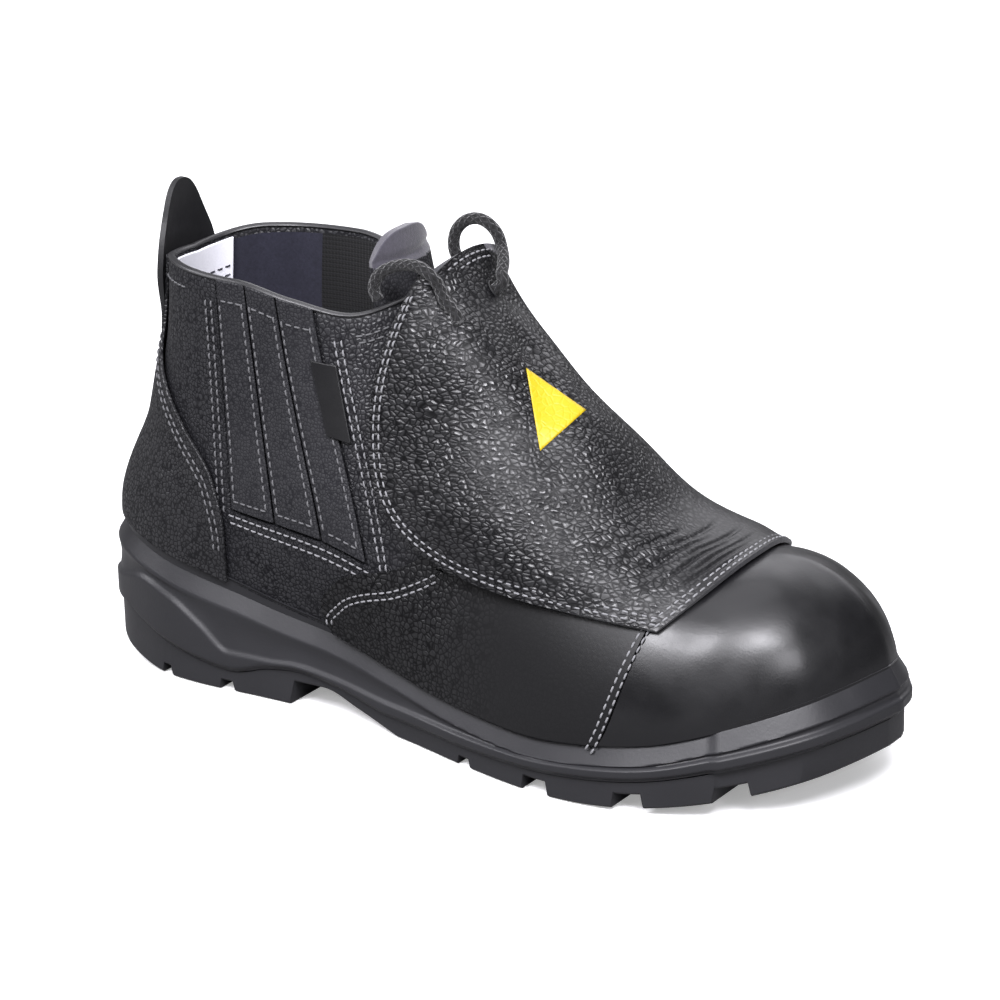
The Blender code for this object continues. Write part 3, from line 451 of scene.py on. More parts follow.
def inside_by(x, y):
    along, side, chart = CHART
    u = np.clip((x - along[0]) / CHART_STEP, 1, len(along) - 2.001)
    v = np.clip((y - side[0]) / CHART_STEP, 1, len(side) - 2.001)
    i, j = np.round(u).astype(int), np.round(v).astype(int)
    wu, wv = spline_weights(u - i), spline_weights(v - j)
    total = 0
    for a in (-1, 0, 1):
        for b in (-1, 0, 1):
            total = total + wu[a + 1] * wv[b + 1] * chart[i + a, j + b]
    return total


def sole_height(name, x):
    return read(SOLE_SIDE, name, np.asarray(x) / SOLE_LENGTH) * SHAFT_HEIGHT


def ledge_height(x):
    return sole_height("lip", x) - LIP_WRAP


def smooth_min(a, b, k):
    near = np.maximum(k - np.abs(a - b), 0) / k
    return np.minimum(a, b) - near**2 * k / 4


def last(p):
    """Roughly the distance outside the boot's outer surface, negative inside."""
    x, y, z = p[..., 0], p[..., 1], p[..., 2]
    inward = inside_by(x, y)
    foot_start = ledge_height(x)
    ridge = read(RIDGE, "height", x / SOLE_LENGTH) * CAP_HEIGHT
    across = np.maximum(1 - inward / SHOULDER_RUN, 0)
    rise = np.maximum(z - foot_start, 0) / (ridge - foot_start)
    foot = (across**SHOULDER_POWER + rise**SHOULDER_POWER) ** (1 / SHOULDER_POWER) - 1
    level = z / SHAFT_HEIGHT
    length = COLLAR_FRONT - COLLAR_BACK
    back = COLLAR_BACK + read(SHAFT, "back", level) * length
    front = COLLAR_FRONT + read(SHAFT, "front", level) * length
    width = read(SHAFT, "width", level) * COLLAR_HALF_WIDTH
    middle = (back + front) / 2
    oval = np.abs((x - middle) / (front - middle)) ** OVAL_POWER
    oval = (oval + np.abs(y / width) ** OVAL_POWER) ** (1 / OVAL_POWER)
    toward = np.clip((x / SOLE_LENGTH - INSTEP_START) / INSTEP_RUN, 0, 1)
    blend = BLEND_LEAST + INSTEP_BLEND * toward**2 * (3 - 2 * toward)
    body = smooth_min(foot * SHOULDER_RUN, (oval - 1) * COLLAR_HALF_WIDTH, blend)
    lifted = np.clip((z - foot_start) / WAIST_RISE, 0, 1)
    outline = -inward - WAIST_BULGE * lifted**1.5
    return -smooth_min(-body, -outline, WAIST_BLEND_LEAST + WAIST_BLEND * lifted)


def reach_surface(origin, direction):
    """Where rays from inside the boot meet its outer surface."""
    near, far = np.full(direction.shape[:-1], 0.05), np.full(direction.shape[:-1], REACH_LIMIT)
    reach = halved(lambda t: last(origin + t[..., None] * direction) > 0, near, far, 20)
    return origin + reach[..., None] * direction


def surface_normal(p):
    steps = np.eye(3) * NORMAL_STEP
    return unit(np.stack([last(p + step) - last(p - step) for step in steps], axis=-1))


def centre_line(x):
    """Middle of the upper's outline at each place along the boot."""
    share = np.clip(np.asarray(x, float) / SOLE_LENGTH, 0, 0.90)
    medial, lateral = read(SOLE_PLAN, "medial", share), read(SOLE_PLAN, "lateral", share)
    return (medial - lateral) / 2 * BALL_WIDTH * np.clip((share - 0.5) / 0.2, 0, 1)


def foot_edge(side):
    fine = half_plan(side, 401)
    ahead = np.gradient(fine, axis=0)
    normal = unit(np.c_[-ahead[:, 1], ahead[:, 0]]) * -SIDES[side]
    normal[0], normal[-1] = (1.0, 0.0), (-1.0, 0.0)
    return fine - normal * UPPER_INSET


FOOT_EDGES = {side: foot_edge(side) for side in SIDES}


def foot_of(side, around):
    """Points of the upper's lower edge, at shares of the way from toe to heel."""
    loop = FOOT_EDGES[side]
    x, y = (np.interp(around * (len(loop) - 1), np.arange(len(loop)), column) for column in loop.T)
    return np.stack([x, y, ledge_height(x) + OVERLAY_GAP], axis=-1)


def top_of(side, around):
    """Where the leather's run from each place on the sole ends: on the ridge or the collar."""
    along = read(RIDGE_FLOW, "ridge_along", around) * SOLE_LENGTH
    low = np.stack([along, centre_line(along), 0 * along + 0.030], axis=-1)
    ridge = reach_surface(low, low * 0 + (0, 0, 0.06))
    turn = np.radians(read(COLLAR_FLOW, "turn", around))
    height = read(COLLAR_RIM, "height", np.degrees(turn)) * SHAFT_HEIGHT
    axis = np.stack([0 * turn + COLLAR_MIDDLE, 0 * turn, height], axis=-1)
    reach = (COLLAR_FRONT - COLLAR_BACK) / 2
    way = (reach * np.cos(turn), SIDES[side] * COLLAR_HALF_WIDTH * np.sin(turn), 0 * turn)
    collar = reach_surface(axis, np.stack(way, axis=-1))
    return np.where((around >= THROAT_AROUND)[..., None], collar, ridge)


def leather(side, around, up):
    """Points of the boot's outer surface. Up runs from the sole's lip edge to ridge or collar."""
    around, up = np.broadcast_arrays(np.asarray(around, float), np.asarray(up, float))
    flat, index = np.unique(around, return_inverse=True)
    index = index.reshape(around.shape)
    foot, top = foot_of(side, flat)[index], top_of(side, flat)[index]
    base_x = np.minimum(foot[..., 0], top[..., 0] - SPINE_SETBACK)
    base_x = np.clip(base_x, SPINE_BACK * SOLE_LENGTH, SPINE_FRONT * SOLE_LENGTH)
    base = np.stack([base_x, centre_line(base_x), foot[..., 2]], axis=-1)
    target = foot + up[..., None] * (top - foot)
    return reach_surface(base, target - base)


def seam_around(side, up):
    """Where the toe cap's seam lies round the boot at each height."""
    target = SEAM_LOW + (SEAM_RIDGE - SEAM_LOW) * up**0.8
    low, high = np.full(up.shape, 0.02), np.full(up.shape, 0.45)
    return halved(lambda around: leather(side, around, up)[..., 0] < target, low, high)


def lip_up(side, around):
    """The share of the way up at which the leather meets the lip."""

    def above(up):
        p = leather(side, around, up)
        return p[..., 2] > sole_height("lip", p[..., 0]) - LIP_COVER

    return halved(above, np.zeros(around.shape), np.full(around.shape, 0.5))


def lifted_sheets(side, around, up, gap, thickness):
    surface = leather(side, around, up)
    normal = surface_normal(surface)
    return surface + normal * (gap + thickness), surface + normal * gap


def rising_sheets(side, around, share, gap, thickness, top=1.0):
    """Both faces of an overlay that rises from the sole's lip."""
    low = lip_up(side, around[:, 0])[:, None]
    return lifted_sheets(side, around, low + (top - low) * share, gap, thickness)


def grid_faces(rows, columns, start=0, closed=False):
    a = np.arange(rows * columns).reshape(rows, columns)
    if closed:
        a = np.concatenate([a, a[:, :1]], axis=1)
    quads = np.stack([a[:-1, :-1], a[:-1, 1:], a[1:, 1:], a[1:, :-1]], axis=-1)
    return (quads.reshape(-1, 4) + start).tolist()


def plate(outer, inner, folded=False):
    """Points and faces of a plate between two grids. A folded one's last row meets itself."""
    rows, columns = outer.shape[:2]
    loops = np.concatenate([outer, inner[:, ::-1]], axis=1)
    width = 2 * columns
    faces = grid_faces(rows, width, closed=True)
    for r in (0,) if folded else (0, rows - 1):
        a = r * width
        faces += [(a + c, a + c + 1, a + width - 2 - c, a + width - 1 - c) for c in range(columns - 1)]
    return loops.reshape(-1, 3), faces


def linked(name, data):
    made = bpy.data.objects.new(name, data)
    bpy.context.scene.collection.objects.link(made)
    return made


def new_mesh(name, points, faces, looks):
    """A mesh in the boot's frame, from points counted from the back of the sole."""
    mesh = bpy.data.meshes.new(name)
    mesh.from_pydata((np.asarray(points, float) - SOLE_BACK).tolist(), [], faces)
    for look in looks:
        mesh.materials.append(look)
    return linked(name, mesh)


def add_piece(name, points, faces, look, slot, node=None, round_edge=0.0, sharp=40, kinds=None):
    """One mesh piece in the boot's frame, which may stand for a solid of the frame."""
    made = new_mesh(name, points, faces, look if isinstance(look, list) else [look])
    mesh = made.data
    if kinds is not None:
        mesh.polygons.foreach_set("material_index", kinds)
    work = bmesh.new()
    work.from_mesh(mesh)
    bmesh.ops.remove_doubles(work, verts=work.verts, dist=2e-6)
    bmesh.ops.dissolve_degenerate(work, edges=work.edges, dist=1e-6)
    bmesh.ops.recalc_face_normals(work, faces=work.faces)
    work.to_mesh(mesh)
    work.free()
    mesh.shade_smooth()
    if round_edge:
        bevel = made.modifiers.new("rounded edge", "BEVEL")
        bevel.width = round_edge
        bevel.segments = 2
        bevel.limit_method = "ANGLE"
        bevel.angle_limit = math.radians(50)
    mesh.set_sharp_from_angle(angle=math.radians(sharp))
    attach(made, "root")
    if node:
        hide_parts(node)
    return made


class Look:
    """A procedural material: its nodes are added one by one, and wired as they are made."""

    def __init__(self, name, colour, roughness, specular=0.5, coat=0.0, coat_roughness=0.2, sheen=0.0):
        self.material = bpy.data.materials.new(name)
        self.material.use_nodes = True
        self.tree = self.material.node_tree
        self.shader = self.tree.nodes["Principled BSDF"]
        values = {
            "Base Color": (*colour, 1.0), "Roughness": roughness, "Specular IOR Level": specular,
            "Coat Weight": coat, "Coat Roughness": coat_roughness, "Sheen Weight": sheen,
        }
        for key, value in values.items():
            self.shader.inputs[key].default_value = value
        self.place = self.tree.nodes.new("ShaderNodeTexCoord").outputs["Object"]

    def node(self, kind, inputs=(), **settings):
        made = self.tree.nodes.new("ShaderNode" + kind)
        for key, value in settings.items():
            setattr(made, key, value)
        for key, value in dict(inputs).items():
            if isinstance(value, bpy.types.NodeSocket):
                self.tree.links.new(value, made.inputs[key])
            else:
                made.inputs[key].default_value = value
        return made

    def math(self, operation, a, b=0.0, clamp=False):
        return self.node("Math", {0: a, 1: b}, operation=operation, use_clamp=clamp).outputs[0]

    def times(self, a, b):
        return self.math("MULTIPLY", a, b)

    def plus(self, a, b):
        return self.math("ADD", a, b)

    def noise(self, scale, detail=2.0, where=None, roughness=0.5, output="Fac"):
        inputs = {"Vector": where or self.place, "Scale": scale, "Detail": detail, "Roughness": roughness}
        return self.node("TexNoise", inputs).outputs[output]

    def ramp(self, value, low, high, to_low=0.0, to_high=1.0):
        inputs = {"Value": value, "From Min": low, "From Max": high, "To Min": to_low, "To Max": to_high}
        return self.node("MapRange", inputs, interpolation_type="SMOOTHSTEP").outputs[0]

    def stretched(self, scale, turn=(0, 0, 0)):
        return self.node("Mapping", {"Vector": self.place, "Scale": scale, "Rotation": turn}).outputs[0]

    def bump(self, height, depth, over=None):
        inputs = {"Height": height, "Distance": depth, "Strength": 1.0}
        if over is not None:
            inputs["Normal"] = over
        return self.node("Bump", inputs).outputs[0]

    def link(self, value, key):
        self.tree.links.new(value, self.shader.inputs[key])

    def tint(self, value, dark, light):
        mix = self.node("Mix", {0: value}, data_type="RGBA")
        mix.inputs[6].default_value = (*dark, 1.0)
        mix.inputs[7].default_value = (*light, 1.0)
        return mix.outputs[2]

    def finished(self, normal, colour=None, roughness=None):
        """The material, once what varies over it is wired to the shader."""
        for key, value in (("Normal", normal), ("Base Color", colour), ("Roughness", roughness)):
            if value is not None:
                self.link(value, key)
        return self.material


def pebbled(name, dark, light, cell, depth, rough, stretch=(1, 1, 1), turn=(0, 0, 0), fade=None,
            specular=0.5):
    """Grained leather: rounded pebbles of the cell's size, parted by fine valleys; the valleys are painted
    dark as painted shade and the pebble tops lighter as painted highlight.
    """
    look = Look(name, dark, rough[0], specular=specular)
    place = look.stretched(stretch, turn)
    drift = look.noise(0.35 / cell, 1.0, place, output="Color")
    shifted = look.node("VectorMath", {0: drift, 1: (0.5, 0.5, 0.5)}, operation="SUBTRACT").outputs[0]
    shifted = look.node("VectorMath", {0: shifted, "Scale": cell * 0.75}, operation="SCALE").outputs[0]
    place = look.node("VectorMath", {0: place, 1: shifted}, operation="ADD").outputs[0]
    cells = {"Vector": place, "Scale": 1 / cell, "Randomness": 0.8}
    edge = look.node("TexVoronoi", cells, feature="DISTANCE_TO_EDGE").outputs["Distance"]
    middle = look.node("TexVoronoi", cells, feature="F1")
    swell = look.math("SUBTRACT", 1.0, look.math("POWER", middle.outputs["Distance"], 2.0), clamp=True)
    pebble = look.times(look.ramp(edge, 0.0, 0.46), look.plus(look.times(swell, 0.7), 0.3))
    strength = look.ramp(look.noise(45.0), 0.3, 0.7, 0.75, 1.0)
    if fade:
        way, low, high, least = fade
        along = look.node("VectorMath", {0: look.place, 1: way}, operation="DOT_PRODUCT").outputs["Value"]
        strength = look.times(strength, look.ramp(along, low, high, 1.0, least))
    height = look.times(pebble, strength)
    normal = look.bump(height, depth, look.bump(look.noise(2200.0), depth * 0.06))
    # Random brightness for each pebble: painted sparkle standing in for glints.
    own = look.node("SeparateXYZ", {0: middle.outputs["Color"]}).outputs[0]
    # Painted shade in the valleys between pebbles, painted highlight on the pebble tops.
    shade = look.times(look.ramp(edge, 0.0, 0.20, 0.16, 1.0), look.plus(look.times(own, 0.25), 0.75))
    # Where the grain fades, the painted shade and highlight give way to an even mid-tone.
    flat_painted_shade = look.times(look.math("SUBTRACT", 1.0, strength), 0.6)
    shade = look.plus(look.times(shade, strength), flat_painted_shade)
    # The same painted shade also takes the specular out of the valleys.
    look.link(look.times(shade, specular), "Specular IOR Level")
    roughness = look.ramp(height, 0.1, 0.7, rough[1], rough[0])
    return look.finished(normal, look.tint(shade, dark, light), roughness)


def polished(name, dark, light, rough, coat, wrinkle=0.00003):
    """Smooth finished leather with a faint haze, pores and very shallow creases."""
    look = Look(name, dark, rough, coat=coat, coat_roughness=0.16)
    haze = look.noise(55.0, 4.0)
    pores = look.node("TexVoronoi", {"Vector": look.place, "Scale": 1500.0}, feature="F1").outputs["Distance"]
    creases = look.noise(420.0, 5.0, look.stretched((0.5, 1.0, 1.0)), 0.65)
    normal = look.bump(creases, wrinkle, look.bump(pores, 0.00001))
    roughness = look.ramp(haze, 0.25, 0.75, rough * 0.8, rough * 1.35)
    return look.finished(normal, look.tint(haze, dark, light), roughness)


def moulded(name, dark, light, rough):
    """Matt moulded sole with a soft, slightly uneven skin."""
    look = Look(name, dark, rough, specular=0.45)
    flow = look.noise(30.0, 3.0)
    normal = look.bump(flow, 0.0004, look.bump(look.noise(900.0, 3.0), 0.00004))
    roughness = look.ramp(flow, 0.3, 0.7, rough * 0.85, rough * 1.15)
    return look.finished(normal, look.tint(flow, dark, light), roughness)


def napped(name, dark, light, sheen=0.4, grain=900.0, depth=0.00016):
    """Suede, felt or nonwoven lining: a soft nap with cloudy colour."""
    look = Look(name, dark, 0.92, specular=0.2, sheen=sheen)
    nap = look.noise(grain, 5.0, None, 0.7)
    cloudy = look.times(nap, look.plus(look.noise(120.0, 4.0), 0.5))
    return look.finished(look.bump(nap, depth), look.tint(cloudy, dark, light))


def ribbed(name, dark, light, pitch, depth):
    """Woven elastic with ribs that run round the boot, crossed by fine warp lines."""
    look = Look(name, dark, 0.85, specular=0.25, sheen=0.15)
    parts = look.node("SeparateXYZ", {0: look.place}).outputs
    wave = look.math("SINE", look.times(parts[2], 2 * math.pi / pitch))
    warp = look.math("SINE", look.times(parts[0], 2 * math.pi / (pitch * 0.8)))
    height = look.ramp(look.plus(wave, look.times(warp, 0.45)), -1.2, 1.2)
    # The rib tops are painted lighter and the hollows between ribs darker: painted shade.
    return look.finished(look.bump(height, depth), look.tint(height, dark, light))


def braided(name, dark, light):
    """Round braided cord: crossing strands wound both ways."""
    look = Look(name, dark, 0.8, specular=0.3, sheen=0.25)
    parts = look.node("SeparateXYZ", {0: look.node("UVMap").outputs[0]}).outputs
    one = look.math("SINE", look.plus(parts[0], parts[1]))
    two = look.math("SINE", look.math("SUBTRACT", parts[0], parts[1]))
    height = look.ramp(look.math("MAXIMUM", one, two), -0.2, 1.0)
    normal = look.bump(height, 0.00035, look.bump(look.noise(2600.0, 3.0), 0.00008))
    # The strand crowns are painted lighter and the gaps between strands darker: painted shade.
    return look.finished(normal, look.tint(height, dark, light))


def plain_thread(name, colour):
    look = Look(name, colour, 0.7, specular=0.3)
    return look.finished(look.bump(look.noise(4200.0, 1.0), 0.00006))


def printed(name, colour):
    """Paint printed on the leather, thin enough for the grain to show."""
    look = Look(name, colour, 0.45)
    grain = look.node("TexVoronoi", {"Vector": look.place, "Scale": 380.0}, feature="DISTANCE_TO_EDGE")
    return look.finished(look.bump(look.ramp(grain.outputs["Distance"], 0.0, 0.2), 0.00008))


LOOKS = {
    # Pebbled leathers: the first colour is painted shade in the valleys, the second painted highlight on the
    # pebble tops.
    "guard": pebbled("guard leather", (0.0010, 0.0010, 0.0013), (0.009, 0.009, 0.0105), 0.0019, 0.00030,
                     (0.29, 0.46), (0.66, 1.0, 1.3), (0.0, 0.5, 0.4),
                     fade=((1, 0.5, 0), 0.160, 0.192, 0.25), specular=0.85),
    "quarter": pebbled("quarter leather", (0.0030, 0.0030, 0.0040), (0.016, 0.016, 0.019), 0.0016, 0.00022,
                       (0.38, 0.58), specular=0.7),
    "counter": pebbled("counter leather", (0.0028, 0.0028, 0.0034), (0.015, 0.015, 0.017), 0.0016, 0.00022,
                       (0.36, 0.56), specular=0.7),
    "strip": pebbled("strip leather", (0.012, 0.012, 0.014), (0.022, 0.022, 0.025), 0.0013, 0.00012,
                     (0.50, 0.68)),
    "vamp": pebbled("vamp leather", (0.0014, 0.0014, 0.0016), (0.011, 0.011, 0.012), 0.0019, 0.00034,
                    (0.29, 0.46), fade=((1, 0, 0), 0.105, 0.140, 0.05)),
    "cap": polished("toe cap leather", (0.0026, 0.0026, 0.0033), (0.0045, 0.0045, 0.0056), 0.36, 0.10),
    "tab": polished("tab leather", (0.006, 0.006, 0.007), (0.013, 0.013, 0.014), 0.45, 0.05, 0.00008),
    "rim": polished("rolled rim", (0.014, 0.014, 0.015), (0.028, 0.028, 0.030), 0.38, 0.10, 0.00006),
    "sole": moulded("sole wall", (0.015, 0.015, 0.017), (0.022, 0.022, 0.025), 0.44),
    "tread": moulded("tread", (0.016, 0.016, 0.018), (0.022, 0.022, 0.025), 0.50),
    "suede": napped("grey suede", (0.035, 0.033, 0.042), (0.085, 0.080, 0.100)),
    "lining": napped("nonwoven lining", (0.006, 0.006, 0.011), (0.026, 0.026, 0.042), 0.2),
    "insole": napped("insole felt", (0.014, 0.014, 0.020), (0.040, 0.040, 0.055), 0.2),
    # Elastic: the darker colour is painted shade in the hollows between ribs.
    "elastic": ribbed("ribbed elastic", (0.0015, 0.0015, 0.0018), (0.006, 0.006, 0.007), 0.0016, 0.00025),
    "pale": napped("pale patch", (0.70, 0.70, 0.76), (0.88, 0.88, 0.93), 0.1, 1300.0, 0.00006),
    # Cord: the darker colour is painted shade in the gaps between strands.
    "cord": braided("braided cord", (0.0022, 0.0022, 0.0024), (0.010, 0.010, 0.011)),
    "thread": plain_thread("grey thread", (0.22, 0.22, 0.23)),
    "dull thread": plain_thread("dull thread", (0.11, 0.11, 0.115)),
    "dark thread": plain_thread("dark thread", (0.03, 0.03, 0.04)),
    "yellow": printed("yellow print", (0.52, 0.37, 0.004)),
    "tag": moulded("tag", (0.004, 0.004, 0.0045), (0.007, 0.007, 0.008), 0.4),
    "cut edge": napped("cut edge", (0.010, 0.010, 0.012), (0.045, 0.045, 0.052), 0.2),
    # Near-black: painted shade for the inside of the punched lace holes.
    "hole": plain_thread("hole", (0.001, 0.001, 0.001)),
}


def both_halves(build, fold_row=None, weld="column"):
    """Joins a grid of each side into one: over the ridge by columns, or round the heel by rows."""
    joined = []
    for lateral, medial in zip(build("lateral"), build("medial")):
        if fold_row is not None:
            lateral[fold_row] = medial[fold_row] = (lateral[fold_row] + medial[fold_row]) / 2
        if weld == "row":
            lateral, medial = lateral.swapaxes(0, 1), medial.swapaxes(0, 1)
        middle = (lateral[:, -1:] + medial[:, -1:]) / 2
        whole = np.concatenate([lateral[:, :-1], middle, medial[:, :-1][:, ::-1]], axis=1)
        joined.append(whole.swapaxes(0, 1) if weld == "row" else whole)
    return joined


def easing(count):
    even = np.linspace(0, 1, count)
    return even + 0.15 * np.sin(np.pi * even)


def make_toe_cap():
    def half(side):
        share = np.linspace(0, 1, 60)
        around = seam_around(side, share) * (1 - easing(60)[:, None])
        return rising_sheets(side, around, share, OVERLAY_GAP, OVERLAY_THICKNESS)

    sheets = plate(*both_halves(half, fold_row=-1), folded=True)
    add_piece("toe_cap_leather", *sheets, LOOKS["cap"], "smooth_leather", "toe_cap", OVERLAY_ROUND)


def make_vamp():
    def half(side):
        share = np.linspace(0, 1, 80)
        seam = seam_around(side, share) + SEAM_SHIFT
        wing = read(WING_EDGE, "around", share)
        around = seam + (wing - seam) * np.linspace(0, 1, 110)[:, None]
        return rising_sheets(side, around, share, VAMP_GAP, VAMP_THICKNESS)

    sheets = plate(*both_halves(half))
    add_piece("vamp_leather", *sheets, LOOKS["vamp"], "vamp_leather", "vamp", OVERLAY_ROUND)


def make_counter():
    def half(side):
        share = np.linspace(0, 1, 90)
        edge = read(COUNTER_EDGE, "around", share)
        around = edge + (1 - edge) * easing(56)[:, None]
        return rising_sheets(side, around, share, OVERLAY_GAP, OVERLAY_THICKNESS, 0.995)

    sheets = plate(*both_halves(half, weld="row"))
    add_piece("counter_leather", *sheets, LOOKS["counter"], "counter_leather", "heel_counter", OVERLAY_ROUND)


def make_gore_strips():
    """Three leather strips on each side that cover the elastic, with rolled edges."""
    for side in SIDES:
        for strip in range(3):
            around = np.linspace(STRIP_EDGES[strip] + STRIP_GAP, STRIP_EDGES[strip + 1] - STRIP_GAP, 20)
            up = np.linspace(GORE_FLOOR + 0.012, 1.0, 90)
            outer, inner = lifted_sheets(side, around[:, None], up, -0.0004, 0.0012)
            across = np.abs(np.linspace(-1, 1, 20))[:, None, None]
            outer = outer - (outer - inner) * 0.35 * across**6
            node = f"gore_strip_{side}_{strip + 1}"
            sheets = plate(outer, inner)
            add_piece(node + "_leather", *sheets, LOOKS["strip"], "strip_leather", node, THIN_ROUND)


def upper_sides(rows, columns):
    around = np.linspace(0, 1, rows)
    around = around - 0.03 * np.sin(4 * np.pi * around)
    edges = np.array([GORE_FRONT, GORE_FRONT + 0.002, GORE_REAR - 0.002, GORE_REAR])
    around = np.array([a for a in around if np.min(np.abs(a - edges)) > 0.001])
    around = np.sort(np.concatenate([around, edges]))
    up = np.linspace(0, 1, columns)
    up = np.sort(np.concatenate([up, [GORE_FLOOR, GORE_FLOOR + 0.004]]))
    return around, up


def make_upper():
    """The quarters and the hidden forefoot as one shell, with its lining as its inner face."""
    around, up = upper_sides(180, 60)
    a, u = np.meshgrid(around, up, indexing="ij")
    ridge = around < THROAT_AROUND
    window = (a > GORE_FRONT + 0.001) & (a < GORE_REAR - 0.001) & (u > GORE_FLOOR + 0.002)
    rim = np.clip((u - 0.985) / 0.015, 0, 1) ** 2 * (a >= THROAT_AROUND)
    sheets = []
    for side in SIDES:
        surface = leather(side, a, u)
        normal = surface_normal(surface)
        outer = surface - normal * (GORE_RECESS * window + 0.0006 * rim)[..., None]
        inner = surface - normal * (UPPER_WALL - 0.0006 * rim)[..., None]
        sheets.append((outer, inner))
    sheets = np.array(sheets)
    sheets[:, :, 0] = sheets[:, :, 0].mean(axis=0)
    sheets[:, :, -1] = sheets[:, :, -1].mean(axis=0)
    sheets[:, :, ridge, -1] = sheets[:, :, ridge, -1].mean(axis=0)
    rows, columns = len(around), len(up)
    size = rows * columns
    faces, kinds = [], []
    gore = (around[:-1] > GORE_FRONT - 0.02) & (around[:-1] < GORE_REAR + 0.02)
    for side in (0, 1):
        start = 2 * side * size
        faces += grid_faces(rows, columns, start)
        kinds += [0] * ((rows - 1) * (columns - 1))
        faces += grid_faces(rows, columns, start + size)
        inside = np.repeat(np.where(gore, 2, 1)[:, None], columns - 1, axis=1)
        inside[:, up[:-1] > 0.972] = 0
        kinds += inside.ravel().tolist()
        for r in range(rows - 1):
            for c, needed in ((0, True), (columns - 1, not ridge[r])):
                if needed:
                    p, q = start + r * columns + c, start + (r + 1) * columns + c
                    faces.append((p, q, q + size, p + size))
                    kinds.append(0)
    looks = [LOOKS["quarter"], LOOKS["lining"], LOOKS["elastic"]]
    add_piece("upper_leather", sheets.reshape(-1, 3), faces, looks, "grained_leather", "upper", kinds=kinds)


def smooth_step(value, low, high):
    t = np.clip((value - low) / (high - low), 0, 1)
    return t * t * (3 - 2 * t)


# Soft forms of the guard: share up it, turn across it in degrees, size each way and height
GUARD_FORMS = (
    ("share", "turn", "share_size", "turn_size", "height"),
    (0.72, -38.0, 0.12, 19.0, 0.0052),
    (0.80, 12.0, 0.10, 12.0, -0.0024),
    (0.64, -4.0, 0.09, 10.0, -0.0026),
    (0.52, -16.0, 0.08, 10.0, -0.0026),
    (0.42, -30.0, 0.07, 11.0, -0.0024),
    (0.33, -46.0, 0.06, 13.0, -0.0016),
    (0.44, -66.0, 0.12, 15.0, 0.0022),
    (0.20, -64.0, 0.07, 18.0, 0.0020),
    (0.13, -38.0, 0.04, 14.0, -0.0014),
    (0.48, 32.0, 0.14, 22.0, -0.0027),
    (0.27, 8.0, 0.05, 20.0, 0.0008),
)

# Creases across the guard near its seam: share at the ridge, slope, middle turn, reach and depth
GUARD_CREASES = (
    ("share", "slope", "turn", "reach", "depth"),
    (0.030, 0.00010, -14.0, 22.0, 0.0006),
    (0.046, 0.00018, -20.0, 26.0, 0.0009),
    (0.063, 0.00005, -8.0, 24.0, 0.0008),
    (0.080, 0.00026, -22.0, 24.0, 0.0010),
    (0.098, 0.00012, -6.0, 22.0, 0.0008),
    (0.117, 0.00034, -26.0, 20.0, 0.0009),
    (0.138, 0.00020, -8.0, 20.0, 0.0007),
    (0.162, 0.00045, -24.0, 16.0, 0.0007),
)
CREASE_WIDTH = 0.0058


def guard_form(share, turn):
    """Height of the guard's soft forms and creases over its plain surface."""
    total = 0
    for at, to, wide, broad, height in GUARD_FORMS[1:]:
        total = total + height * np.exp(-(((share - at) / wide) ** 2) - ((turn - to) / broad) ** 2)
    for at, slope, middle, reach, depth in GUARD_CREASES[1:]:
        line = at - slope * turn + 0.003 * np.sin(turn / 9.0 + 40 * at)
        across = (share - line) / CREASE_WIDTH
        total = total - depth * np.exp(-(across**2) - ((turn - middle) / reach) ** 4)
    return total


def guard_inner(share, turn):
    """Points of the guard's inner face. Turn is in degrees, negative on the lateral side."""
    share, turn = np.broadcast_arrays(np.asarray(share, float), np.asarray(turn, float))
    sign, angle = np.sign(turn), np.radians(np.abs(turn))
    ridge_x = read(GUARD, "ridge_along", share) * SOLE_LENGTH
    ridge_z = read(GUARD, "ridge_height", share) * SHAFT_HEIGHT
    edge_x = read(GUARD, "edge_along", share) * SOLE_LENGTH
    edge_z = read(GUARD, "edge_height", share) * SHAFT_HEIGHT
    width = read(GUARD, "side", share) * BALL_WIDTH
    fall = 1 - np.cos(angle)
    x = ridge_x + (edge_x - ridge_x) * fall
    z = ridge_z + (edge_z - ridge_z) * fall
    p = np.stack([x, centre_line(ridge_x) + sign * width * np.sin(angle), z], axis=-1)
    hug = np.clip(1 - share / GUARD_HUG, 0, 1)
    clearance = 0.0024 + 0.0008 * np.clip(share / GUARD_LIFT, 0, 1)
    for _ in range(5):
        short = clearance - last(p)
        p = p + surface_normal(p) * np.where(short < 0, hug * short, short)[..., None]
    return p


def grid_normal(grid):
    normal = unit(np.cross(np.gradient(grid, axis=1), np.gradient(grid, axis=0)))
    return normal * np.sign(normal[..., 2].sum())


def softened(grid, passes, axis):
    """A grid of points evened out along one of its axes, with its ends kept."""
    grid = np.moveaxis(grid, axis, 0)
    for _ in range(passes):
        grid[1:-1] = 0.25 * grid[:-2] + 0.5 * grid[1:-1] + 0.25 * grid[2:]
    return np.moveaxis(grid, 0, axis)


